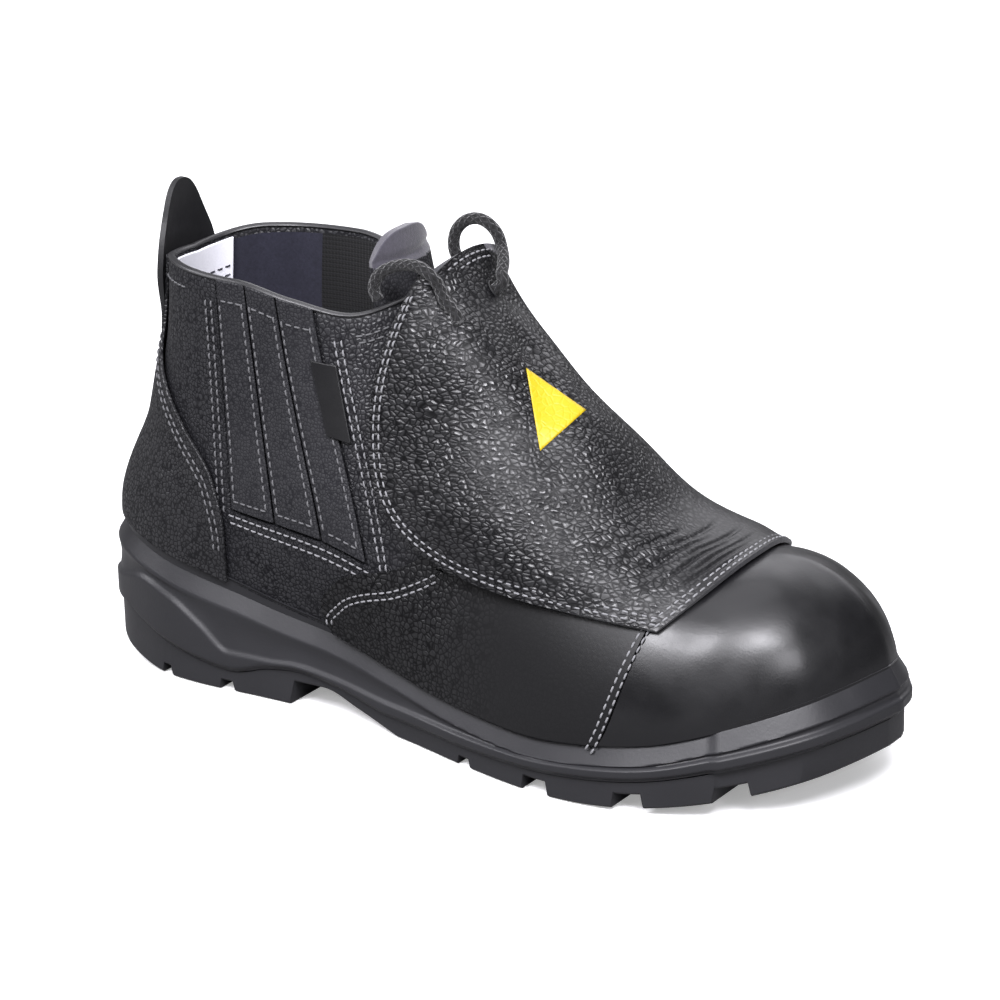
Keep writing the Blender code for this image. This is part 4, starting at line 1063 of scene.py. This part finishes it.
def guard_sheets():
    share = np.concatenate([np.linspace(0, 0.20, 110, endpoint=False), np.linspace(0.20, 1, 130)])[:, None]
    turn = np.linspace(-90, 90, 125)[None, :]
    even = np.linspace(0, 1, 61)
    plain = guard_inner(even[:, None], turn)
    soft = softened(softened(plain.copy(), 22, 0), 10, 1)
    kept = smooth_step(even, 0.03, 0.16)[:, None, None]
    plain = plain + (soft - plain) * kept
    at = share[:, 0] * 60
    i = np.clip(at.astype(int), 0, 59)
    u = (at - i)[:, None, None]
    ahead = np.gradient(plain, axis=0)
    near, far = plain[i], plain[i + 1]
    inner = (2 * u**3 - 3 * u**2 + 1) * near + (u**3 - 2 * u**2 + u) * ahead[i]
    inner = inner + (3 * u**2 - 2 * u**3) * far + (u**3 - u**2) * ahead[i + 1]
    normal = grid_normal(inner)
    form = guard_form(share, turn)[..., None]
    thickness = GUARD_THICKNESS * (0.55 + 0.45 * smooth_step(share, 0, 0.09))[..., None]
    outer = inner + normal * (thickness + form)
    return outer, inner + normal * np.maximum(form, -0.0012), normal, share[:, 0]


GUARD_OUTER, GUARD_INNER, GUARD_NORMAL, GUARD_SHARES = guard_sheets()


def make_guard():
    points, faces = plate(GUARD_OUTER, GUARD_INNER)
    rows, columns = GUARD_OUTER.shape[:2]
    kinds = np.zeros((rows - 1, 2 * columns), int)
    kinds[:, columns:] = 1
    kinds[:, columns - 1] = kinds[:, -1] = 2
    turn = np.linspace(-90, 90, columns)
    # The faces marked folded are not folded over: they take the grey suede as painted sheen, standing for the
    # leather's grazing sheen near the medial top.
    folded = (GUARD_SHARES[:-1, None] > 0.90 + 0.0022 * (60 - turn[None, :])) & (turn[None, :] > 22)
    kinds[:, :columns][folded] = 1
    kinds = kinds.ravel().tolist()
    kinds += [2] * (len(faces) - len(kinds))
    looks, name = [LOOKS["guard"], LOOKS["suede"], LOOKS["cut edge"]], "guard_leather"
    return add_piece(name, points, faces, looks, name, "metatarsal_guard", 0.0006, kinds=kinds)


def flap_places(size, top, corner, half_width, taper, inward, ahead):
    """The boot's surface under a flap with round corners, the flap's heights and shares of its rise."""
    rise, side = np.linspace(0, 1, size[0])[:, None], np.linspace(-1, 1, size[1])
    low = FLAP_BOTTOM * SHAFT_HEIGHT
    height = low + (top - corner[0] * np.abs(side) ** corner[1] - low) * rise
    y = side * half_width * (1 - taper[0] * rise ** taper[1])
    base = np.stack([0 * y + COLLAR_MIDDLE, inward * y, height], axis=-1)
    way = np.stack([0 * y + ahead, (1 - inward) * y, 0 * y], axis=-1)
    return reach_surface(base, way), height, rise


def make_tongue():
    """The grey suede tab inside the collar's front, with a rolled top."""
    size, corner, taper = (46, 41), (0.009, 3), (0.10, 3)
    surface, height, _ = flap_places(size, TONGUE_TOP, corner, TONGUE_HALF_WIDTH, taper, 0.4, 0.05)
    normal = surface_normal(surface)
    outer = surface - normal * (UPPER_WALL + OVERLAY_GAP)
    inner = outer - normal * TONGUE_THICKNESS
    fold = 0.0010 * np.exp(-(((height - TONGUE_FOLD) / 0.0012) ** 2))[..., None]
    points, faces = plate(outer - normal * fold, inner)
    kinds = [1 if points[face[0]][2] < TONGUE_LEATHER else 0 for face in faces]
    looks = [LOOKS["suede"], LOOKS["strip"]]
    add_piece("tongue_suede", points, faces, looks, "suede", "tongue", 0.0014, kinds=kinds)


def make_pull_tab():
    size, corner, taper = (60, 31), (0.013, 2.5), (0.35, 4)
    surface, _, rise = flap_places(size, PULL_TAB_TOP, corner, PULL_TAB_HALF_WIDTH, taper, 0.3, -0.05)
    normal = surface_normal(surface)
    inner = surface + normal * (0.0018 + 0.0013 * smooth_step(rise, 0.1, 0.6))[..., None]
    outer = inner + normal * (0.0008 + 0.0012 * smooth_step(rise, 0.0, 0.5))[..., None]
    add_piece("pull_tab_leather", *plate(outer, inner), LOOKS["tab"], "tab_leather", "pull_tab", 0.0008)


def make_heel_patch():
    def half(side):
        around = np.linspace(PATCH_AROUND[side], 1.0, 30)[:, None]
        return lifted_sheets(side, around, np.linspace(*PATCH_UP, 30), -PATCH_DEPTH, 0.0010)

    outer, inner = both_halves(half, weld="row")
    add_piece("heel_patch_felt", *plate(outer, inner), LOOKS["pale"], "pale_patch", "heel_patch", THIN_ROUND)


def make_side_tag():
    around = np.linspace(*TAG_AROUND, 16)[:, None]
    outer, inner = lifted_sheets("lateral", around, np.linspace(*TAG_UP, 30), 0.0011, 0.0008)
    add_piece("side_tag_plain", *plate(outer, inner), LOOKS["tag"], "tag", "side_tag", THIN_ROUND)


def cap_across(faces, start, count):
    for k in range(count // 2):
        ring = (start + k, start + k + 1, start + (count - k - 1) % count, start + (count - k) % count)
        faces.append(tuple(dict.fromkeys(ring)))


def make_midsole():
    """The sole's side wall as rings from its parting line to the lip, with its moulded steps."""
    plan = plan_loop(330)
    x = plan[:, 0]
    parting, crease, lip = (sole_height(name, x) for name in ("parting", "crease", "lip"))
    side = np.sign(plan[:, 1] - centre_line(x))
    ridge = lip - BEVEL_DROP - HEEL_BEVEL_DROP * smooth_step(x, 0.16, 0.05)
    proud = BUMPER_PROUD * smooth_step(x, BUMPER_START - 0.002, BUMPER_START + 0.002)
    under_foot = inset(plan, UPPER_INSET)
    rings = []
    for level in np.linspace(0, 1, 46):
        z = parting + (lip - parting) * level
        above = z - crease
        step = SOLE_STEP * smooth_step(above, -0.0006, 0.0008)
        edge = PARTING_INSET * (1 - smooth_step(z - parting, 0.0, PARTING_RUN))
        bevel = np.maximum(z - ridge, 0) * BEVEL_SLOPE
        bevel = bevel + 0.0012 * smooth_step(z, lip - 0.0016, lip + 0.0002)
        hollow = WALL_HOLLOW * np.sin(np.pi * np.clip((z - crease) / (ridge - crease), 0, 1))
        rings.append(np.c_[inset(plan, edge + step + bevel + hollow - proud), z])
    for rise, gap in ((0.0003, 0.0017), (0.0001, 0.0010), (-0.0012, 0.0006)):
        loop = under_foot + outward(under_foot) * gap
        rings.append(np.c_[loop, sole_height("lip", loop[:, 0]) + rise])
    ledge = inset(under_foot, UPPER_WALL + OVERLAY_GAP)
    for loop in (under_foot + outward(under_foot) * 0.0003, ledge):
        rings.append(np.c_[loop, ledge_height(loop[:, 0])])
    grid = np.array(rings)
    count = grid.shape[1]
    faces = grid_faces(len(rings), count, closed=True)
    cap_across(faces, 0, count)
    cap_across(faces, (len(rings) - 1) * count, count)
    add_piece("sole_wall", grid.reshape(-1, 3), faces, LOOKS["sole"], "sole_wall", "midsole", sharp=60)


def tread_bottom(x):
    share = x / SOLE_LENGTH
    bevel = HEEL_BEVEL * np.clip(1 - x / HEEL_BEVEL_RUN, 0, 1) ** 1.6
    arch = read(ARCH, "height", share) * SHAFT_HEIGHT
    arch = np.where(share < ARCH[1][0], 0.0, arch)
    spring = np.clip((x - SPRING_START) / (SOLE_LENGTH - SPRING_START), 0, None) ** 2
    return bevel + arch + TOE_SPRING * spring


def plan_width(side, x):
    half = half_plan(side, 800)
    order = np.argsort(half[:, 0])
    return np.interp(x, half[order, 0], half[order, 1])


def make_outsole():
    """The tread in sections along the boot, with its grooves across and the channel ahead."""
    x = np.concatenate([np.linspace(0.0012, 0.03, 26), np.arange(0.031, SOLE_LENGTH - 0.022, 0.0022)])
    x = np.concatenate([x, SOLE_LENGTH - 0.0218 + 0.0202 * np.sin(np.linspace(0, 0.5 * np.pi, 26))])
    walls = [HEEL_BREAST] + [end * SOLE_LENGTH for row in GROOVES[1:] for end in row[:2]]
    for wall in walls:
        x = x[np.abs(x - wall) > 0.0009]
    x = np.sort(np.concatenate([x] + [[wall - 0.0004, wall + 0.0004] for wall in walls]))
    lateral = plan_width("lateral", x) + TREAD_INSET
    medial = plan_width("medial", x) - TREAD_INSET
    middle = (lateral + medial) / 2
    thin = (medial - lateral) < 0.006
    lateral, medial = np.where(thin, middle - 0.003, lateral), np.where(thin, middle + 0.003, medial)
    top = sole_height("parting", x) - 0.0004
    low = tread_bottom(x)
    groove = np.zeros(x.shape)
    for start, end, share in GROOVES[1:]:
        inside = (x > start * SOLE_LENGTH) & (x < end * SOLE_LENGTH)
        groove = np.where(inside, share * TREAD_DEPTH, groove)
    groove = np.minimum(groove, top - low - 0.0012)
    channel = np.where((x < SOLE_LENGTH - CHANNEL_STOP) & (x > CHANNEL_START), TREAD_DEPTH * 0.7, 0.0)
    half = np.minimum(CHANNEL_HALF_WIDTH, (medial - lateral) / 6)
    floor, slope, round_off = low + groove, CHANNEL_SLOPE, TREAD_ROUND
    across = [
        (lateral, top), (medial, top), (medial, floor + round_off), (medial - round_off, floor),
        (middle + half + slope, floor), (middle + half, low + np.maximum(groove, channel)),
        (middle - half, low + np.maximum(groove, channel)), (middle - half - slope, floor),
        (lateral + round_off, floor), (lateral, floor + round_off),
    ]
    sections = np.stack([np.stack([x, y, z], axis=-1) for y, z in across], axis=1)
    rows, columns = sections.shape[:2]
    faces = grid_faces(rows, columns, closed=True)
    faces.append(tuple(range(columns)))
    faces.append(tuple((rows - 1) * columns + c for c in range(columns)))
    add_piece("tread_rubber", sections.reshape(-1, 3), faces, LOOKS["tread"], "tread", "outsole", 0.0003, 30)


def make_insole():
    plan = inset(plan_loop(150), UPPER_INSET + UPPER_WALL + 0.0012)
    low = ledge_height(plan[:, 0]) + 0.0010
    rings = [(plan, low), (plan, low + 0.0028), (inset(plan, 0.0010), low + 0.0036)]
    grid = np.array([np.c_[loop, z] for loop, z in rings])
    count = grid.shape[1]
    faces = grid_faces(3, count, closed=True)
    cap_across(faces, 0, count)
    cap_across(faces, 2 * count, count)
    add_piece("insole_felt", grid.reshape(-1, 3), faces, LOOKS["insole"], "insole", "insole")


def add_stitches(name, rows, look="thread"):
    """Rows of stitches as one mesh. Each row is a line of points and the surface's normals."""
    points, faces = [], []
    along, thick, rise = np.array(STITCH_SHAPE[1:]).T[..., None, None] * STITCH_SIZE[:, None, None, None]
    angle = np.linspace(0, 2 * np.pi, STITCH_SIDES, endpoint=False)[:, None]
    for line, normal in rows:
        run = run_along(line)
        places = np.arange(STITCH_PITCH / 2, run[-1], STITCH_PITCH)
        at, up = values_at(places, run, line), values_at(places, run, normal)
        ahead, behind = (values_at(places + by, run, line) for by in (STITCH_REACH, -STITCH_REACH))
        way = unit(ahead - behind)
        up = unit(up - way * np.sum(up * way, axis=1)[:, None])
        for p, w, u, s in zip(at, way, up, np.cross(way, up)):
            start = len(points)
            rings = p + w * along + u * rise + thick * (np.cos(angle) * s + np.sin(angle) * u)
            points.extend(rings.reshape(-1, 3))
            faces += grid_faces(len(along), STITCH_SIDES, start, closed=True)
            ends = (start, start + (len(along) - 1) * STITCH_SIDES)
            faces += [tuple(range(end, end + STITCH_SIDES)) for end in ends]
    made = new_mesh(name, points, faces, [LOOKS[look]])
    made.data.shade_smooth()
    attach(made, "root")


def shifted_row(line, normal, by):
    """A row moved sideways over the surface by a distance."""
    return line + np.cross(normal, unit(np.gradient(line, axis=0))) * by


def surface_rows(side, around, up, lift=ON_LEATHER, shifts=(0.0,)):
    """Rows of stitches beside a line on the boot's surface. Shifts are positive toward the heel."""
    around, up = np.broadcast_arrays(np.asarray(around, float), np.asarray(up, float))
    line = leather(side, around, up)
    normal = surface_normal(line)
    return [(shifted_row(line, normal, -SIDES[side] * by) + normal * lift, normal) for by in shifts]


def make_stitching():
    grey, dull = [], []
    floor, top = GORE_FLOOR - 0.01, 0.945
    up, gore_up = np.linspace(0.02, 0.99, 120), np.linspace(floor, 0.95, 100)
    panel_up = np.linspace(floor, 0.93, 100)
    wing_up, counter_up = np.linspace(0.06, 0.285, 60), np.linspace(0.14, 0.97, 110)
    wing, counter = read(WING_EDGE, "around", wing_up), read(COUNTER_EDGE, "around", counter_up)
    below = np.linspace(GORE_FRONT, GORE_REAR - 0.002, 80)
    panel_top = np.linspace(GORE_FRONT - 0.060, GORE_FRONT - 0.022, 24)
    strip_floor = GORE_FLOOR + 0.04
    strip_up = np.linspace(strip_floor, top, 90)
    for side in SIDES:
        grey += surface_rows(side, seam_around(side, up) + SEAM_SHIFT, up, ON_VAMP, (0.0014, 0.0036))
        grey += surface_rows(side, wing, wing_up, ON_VAMP, (-0.0020, -0.0042))
        grey += surface_rows(side, GORE_FRONT, panel_up, shifts=(-0.0046, -0.0070))
        grey += surface_rows(side, below, GORE_FLOOR - 0.012) + surface_rows(side, below, GORE_FLOOR - 0.034)
        dull += surface_rows(side, counter, counter_up, ON_OVERLAY, (0.0020, 0.0043))
        dull += surface_rows(side, GORE_REAR, gore_up, shifts=(0.0024, 0.0050))
        dull += surface_rows(side, panel_top, top, shifts=(0.0, 0.0022))
        dull += surface_rows(side, np.linspace(0.80, 0.90, 30), 0.955)
        for front, rear in zip(STRIP_EDGES[:-1] + STRIP_ROW, STRIP_EDGES[1:] - STRIP_ROW):
            across = np.linspace(front, rear, 16)
            for row in ((front, strip_up), (rear, strip_up), (across, top), (across, strip_floor)):
                dull += surface_rows(side, *row, 0.0008)
    add_stitches("upper_stitching", grey)
    add_stitches("panel_stitching", dull, "dull thread")


def guard_line(row, column):
    """Points and normals along lines of the guard's fine grid, between its rows and columns."""
    rows, columns = GUARD_OUTER.shape[:2]
    i = np.clip(np.interp(row, GUARD_SHARES, np.arange(rows)), 0, rows - 1.001)
    j = np.clip(column * (columns - 1), 0, columns - 1.001)
    a, b = i.astype(int), j.astype(int)
    u, v = (i - a)[:, None], (j - b)[:, None]
    mixed = []
    for grid in (GUARD_OUTER, GUARD_NORMAL):
        near = grid[a, b] * (1 - v) + grid[a, b + 1] * v
        mixed.append(near * (1 - u) + (grid[a + 1, b] * (1 - v) + grid[a + 1, b + 1] * v) * u)
    return mixed


def make_guard_stitching():
    edge, top, seam = np.linspace(0.0, 0.965, 200), np.linspace(0.05, 0.95, 100), np.linspace(0.0, 1.0, 160)
    lines = (
        (edge, 0 * edge, (-0.0020, -0.0042)),
        (edge, 0 * edge + 1, (0.0020, 0.0042)),
        (0 * top + 1, top, (-0.0022, -0.0044)),
        (0 * seam, seam, (0.0014, 0.0036)),
    )
    rows = []
    for row, column, shifts in lines:
        line, normal = guard_line(row, column)
        rows += [(shifted_row(line, normal, by), normal) for by in shifts]
    add_stitches("guard_stitching", rows)


def make_patch_stitching():
    places = []
    for side, front in PATCH_AROUND.items():
        places += [(side, np.linspace(front + 0.004, 0.998, 40), up) for up in (0.925, 0.900)]
    places += [("medial", around, np.linspace(0.75, 0.895, 30)) for around in (0.930, 0.938)]
    rows = []
    for place in places:
        line = leather(*place)
        normal = surface_normal(line)
        rows.append((line - normal * PATCH_DEPTH, -normal))
    add_stitches("patch_stitching", rows, "dark thread")


def tube(path, side, other, count):
    """Rings round a path, as wide each way as the two vectors at each of its points."""
    angle = np.linspace(0, 2 * np.pi, count, endpoint=False)[None, :, None]
    return path[:, None] + np.cos(angle) * side[:, None] + np.sin(angle) * other[:, None]


def make_rim():
    """The collar's rolled edge, a thin bead round its rim."""
    around = np.linspace(THROAT_AROUND + 0.004, 1.0, 150)
    points, faces = [], []
    for side in SIDES:
        line = leather(side, around, np.ones(around.shape))
        normal = surface_normal(line)
        rise = np.cross(unit(np.gradient(line, axis=0)), normal)
        rings = tube(line - normal * UPPER_WALL / 2, normal * 0.0013, rise * 0.0009, 10)
        faces += grid_faces(*rings.shape[:2], len(points), closed=True)
        points.extend(rings.reshape(-1, 3))
    add_piece("rolled_rim", points, faces, LOOKS["rim"], "grained_leather")


def make_hole(name, guard, end, radius=0.0027):
    """A punched lace hole: a dark disc, painted shade for the hole's inside, with a soft edge where a cord
    meets the guard.
    """
    tree = BVHTree.FromObject(guard, bpy.context.evaluated_depsgraph_get())
    spot, normal, _, _ = tree.find_nearest(Vector(end) - Vector(SOLE_BACK))
    side = normal.orthogonal().normalized()
    other = normal.cross(side)
    angles = np.linspace(0, 2 * np.pi, 28, endpoint=False)
    spot = spot + Vector(SOLE_BACK)
    rings = ((0.0, 0.00012), (radius, 0.00012), (radius * 1.12, 0.00045), (radius * 1.28, 0.00010))
    points = []
    for reach, lift in rings:
        ways = [side * math.cos(a) + other * math.sin(a) for a in angles]
        points += [tuple(spot + way * reach + normal * lift) for way in ways]
    faces = grid_faces(len(rings), len(angles), closed=True)
    kinds = [0] * len(angles) + [1] * (2 * len(angles))
    add_piece(name, points, faces, [LOOKS["hole"], LOOKS["tab"]], "guard_leather", kinds=kinds)
    return spot - normal * 0.004


def make_lace(name, route, slot_name, node):
    """A round braided cord as a tube, its strands wound round it."""
    path = smooth_curve(route, 90) - SOLE_BACK
    way = unit(np.gradient(path, axis=0))
    side = unit(np.cross(way, (0.0, 1.0, 0.15)))
    radius = LACE_DIAMETER / 2
    rings = tube(path, side * radius, np.cross(way, side) * radius, 20)
    rows, columns = rings.shape[:2]
    faces = grid_faces(rows, columns, closed=True)
    faces += [tuple(range(columns)), tuple(range((rows - 1) * columns, rows * columns))]
    made = add_piece(name, rings.reshape(-1, 3) + SOLE_BACK, faces, LOOKS["cord"], slot_name, node)
    run = run_along(path)
    layer = made.data.uv_layers.new(name="braid")
    strands, lay = 6, 0.0016
    for polygon in made.data.polygons:
        turns = [(v % columns) / columns for v in polygon.vertices]
        wrap = max(turns) - min(turns) > 0.5
        for index, v, turn in zip(polygon.loop_indices, polygon.vertices, turns):
            turn = turn + 1 if wrap and turn < 0.5 else turn
            wound = run[min(v // columns, rows - 1)] / lay * math.pi
            layer.data[index].uv = (turn * strands * 2 * math.pi, wound)
    length = float(run[-1])
    return length


# The camera as found from the photograph: where it looks, from how far, and its lens
AZIMUTH, ELEVATION, ROLL = 34.62, 20.19, -1.37
CAMERA_DISTANCE = 1.2
CAMERA_AIM = (0.15565 - ORIGIN_ALONG, 0.0, 0.07387)
FOCAL_PIXELS = 3636.5
PICTURE = 1000


def camera_axes():
    a, e, r = (math.radians(value) for value in (AZIMUTH, ELEVATION, ROLL))
    back = Vector((math.sin(a) * math.cos(e), -math.cos(a) * math.cos(e), math.sin(e)))
    right = Vector((math.cos(a), math.sin(a), 0))
    up = back.cross(right)
    turned_right = right * math.cos(r) + up * math.sin(r)
    turned_up = up * math.cos(r) - right * math.sin(r)
    return turned_right, turned_up, back


def make_camera():
    right, up, back = camera_axes()
    data = bpy.data.cameras.new("camera")
    camera = linked("camera", data)
    matrix = Matrix((right, up, back)).transposed().to_4x4()
    matrix.translation = Vector(CAMERA_AIM) + back * CAMERA_DISTANCE
    camera.matrix_world = matrix
    data.sensor_width = 36.0
    data.lens = FOCAL_PIXELS / PICTURE * data.sensor_width
    data.clip_end = 20.0
    bpy.context.scene.camera = camera


# Corners of the plain yellow patch on the guard, as pixels of the photograph
YELLOW_CORNERS = ((526, 368), (586, 410), (540, 451))


def make_yellow_patch(guard):
    """A plain triangle printed on the guard where the camera sees it in the photograph."""
    right, up, back = camera_axes()
    eye = Vector(CAMERA_AIM) + back * CAMERA_DISTANCE
    tree = BVHTree.FromObject(guard, bpy.context.evaluated_depsgraph_get())
    steps, points, faces, index = 26, [], [], {}
    corners = np.array(YELLOW_CORNERS, float)
    for i in range(steps + 1):
        for j in range(steps + 1 - i):
            a, b = i / steps, j / steps
            px, py = corners[0] * (1 - a - b) + corners[1] * a + corners[2] * b
            way = right * (px - PICTURE / 2) - up * (py - PICTURE / 2) - back * FOCAL_PIXELS
            spot, normal, _, _ = tree.ray_cast(eye, way.normalized())
            index[i, j] = len(points)
            points.append(spot + normal * 0.00018 + Vector(SOLE_BACK))
    for i in range(steps):
        for j in range(steps - i):
            faces.append((index[i, j], index[i + 1, j], index[i, j + 1]))
            if i + j < steps - 1:
                faces.append((index[i + 1, j], index[i + 1, j + 1], index[i, j + 1]))
    piece = add_piece("yellow_patch", [tuple(p) for p in points], faces, LOOKS["yellow"], "guard_leather")
    solid = piece.modifiers.new("print thickness", "SOLIDIFY")
    solid.thickness = 0.00012
    solid.offset = -1


FLOOR_REACH = 6.0
LIT_PLACE = (0.10, 0, 0.07)

# Soft lights: the way to each from the boot, its distance, its size and its power in watts
LIGHTS = (
    ("key", (0.52, -0.46, 0.74), 1.25, (0.40, 0.36), 15.0),
    ("second key", (0.04, -0.68, 0.74), 1.25, (0.42, 0.34), 14.0),
    ("toe", (0.83, -0.42, 0.42), 1.30, (0.36, 0.36), 4.0),
    ("side", (-0.10, -0.83, 0.52), 1.40, (0.34, 0.30), 3.6),
    ("backdrop", (-0.10, 0.72, 0.60), 1.60, (1.60, 1.10), 15.0),
    ("top", (-0.12, 0.06, 1.0), 1.40, (0.90, 0.70), 5.0),
    ("rear", (-0.80, -0.28, 0.55), 1.40, (0.60, 0.50), 8.0),
)


def add_area(name, place, target, size, power, colour=(0.96, 0.95, 1.0)):
    data = bpy.data.lights.new(name, "AREA")
    data.shape = "RECTANGLE"
    data.size, data.size_y = size
    data.energy = power
    data.color = colour
    light = linked(name, data)
    light.location = place
    light.rotation_euler = (Vector(target) - Vector(place)).to_track_quat("-Z", "Y").to_euler()


def seen_or_lit(tree, seen, lit):
    """A value for what the camera sees straight, and another for what only lights the boot."""
    path = tree.nodes.new("ShaderNodeLightPath")
    mix = tree.nodes.new("ShaderNodeMix")
    mix.data_type = "RGBA"
    tree.links.new(path.outputs["Is Camera Ray"], mix.inputs[0])
    mix.inputs[6].default_value = (lit, lit, lit, 1)
    mix.inputs[7].default_value = (seen, seen, seen, 1)
    return mix.outputs[2]


def make_studio():
    mesh = bpy.data.meshes.new("floor")
    corners = [(FLOOR_REACH * a, FLOOR_REACH * b, 0) for a, b in ((-1, -1), (1, -1), (1, 1), (-1, 1))]
    mesh.from_pydata(corners, [], [(0, 1, 2, 3)])
    floor = linked("floor", mesh)
    look = Look("pale floor", (0.92, 0.92, 0.92), 0.95, specular=0.0)
    look.link(seen_or_lit(look.tree, 0.95, 0.22), "Base Color")
    look.link(seen_or_lit(look.tree, 0.32, 0.0), "Emission Color")
    look.shader.inputs["Emission Strength"].default_value = 1.0
    mesh.materials.append(look.material)
    floor.location.z = -0.0003
    world = bpy.data.worlds.new("studio")
    world.use_nodes = True
    background = world.node_tree.nodes["Background"]
    world.node_tree.links.new(seen_or_lit(world.node_tree, 1.0, 0.16), background.inputs[0])
    bpy.context.scene.world = world
    bpy.context.scene.view_settings.view_transform = "Standard"
    middle = Vector(LIT_PLACE)
    for name, way, distance, extent, power in LIGHTS:
        add_area(name, middle + Vector(way).normalized() * distance, middle, extent, power)


def main():
    make_camera()
    make_upper()
    make_rim()
    make_toe_cap()
    make_vamp()
    make_counter()
    make_gore_strips()
    guard = make_guard()
    make_tongue()
    make_pull_tab()
    make_heel_patch()
    make_side_tag()
    make_midsole()
    make_outsole()
    make_insole()
    make_stitching()
    make_guard_stitching()
    make_patch_stitching()
    bpy.context.view_layer.update()
    make_yellow_patch(guard)
    for side, route in (("lateral", LACE_LATERAL), ("medial", LACE_MEDIAL)):
        inside = make_hole(f"lace_hole_{side}", guard, route[-1])
        length = make_lace(f"lace_{side}_cord", (*route, tuple(inside)), "cord", f"lace_{side}")
        print(side, "cord length in metres:", round(length, 4))
    make_studio()


main()
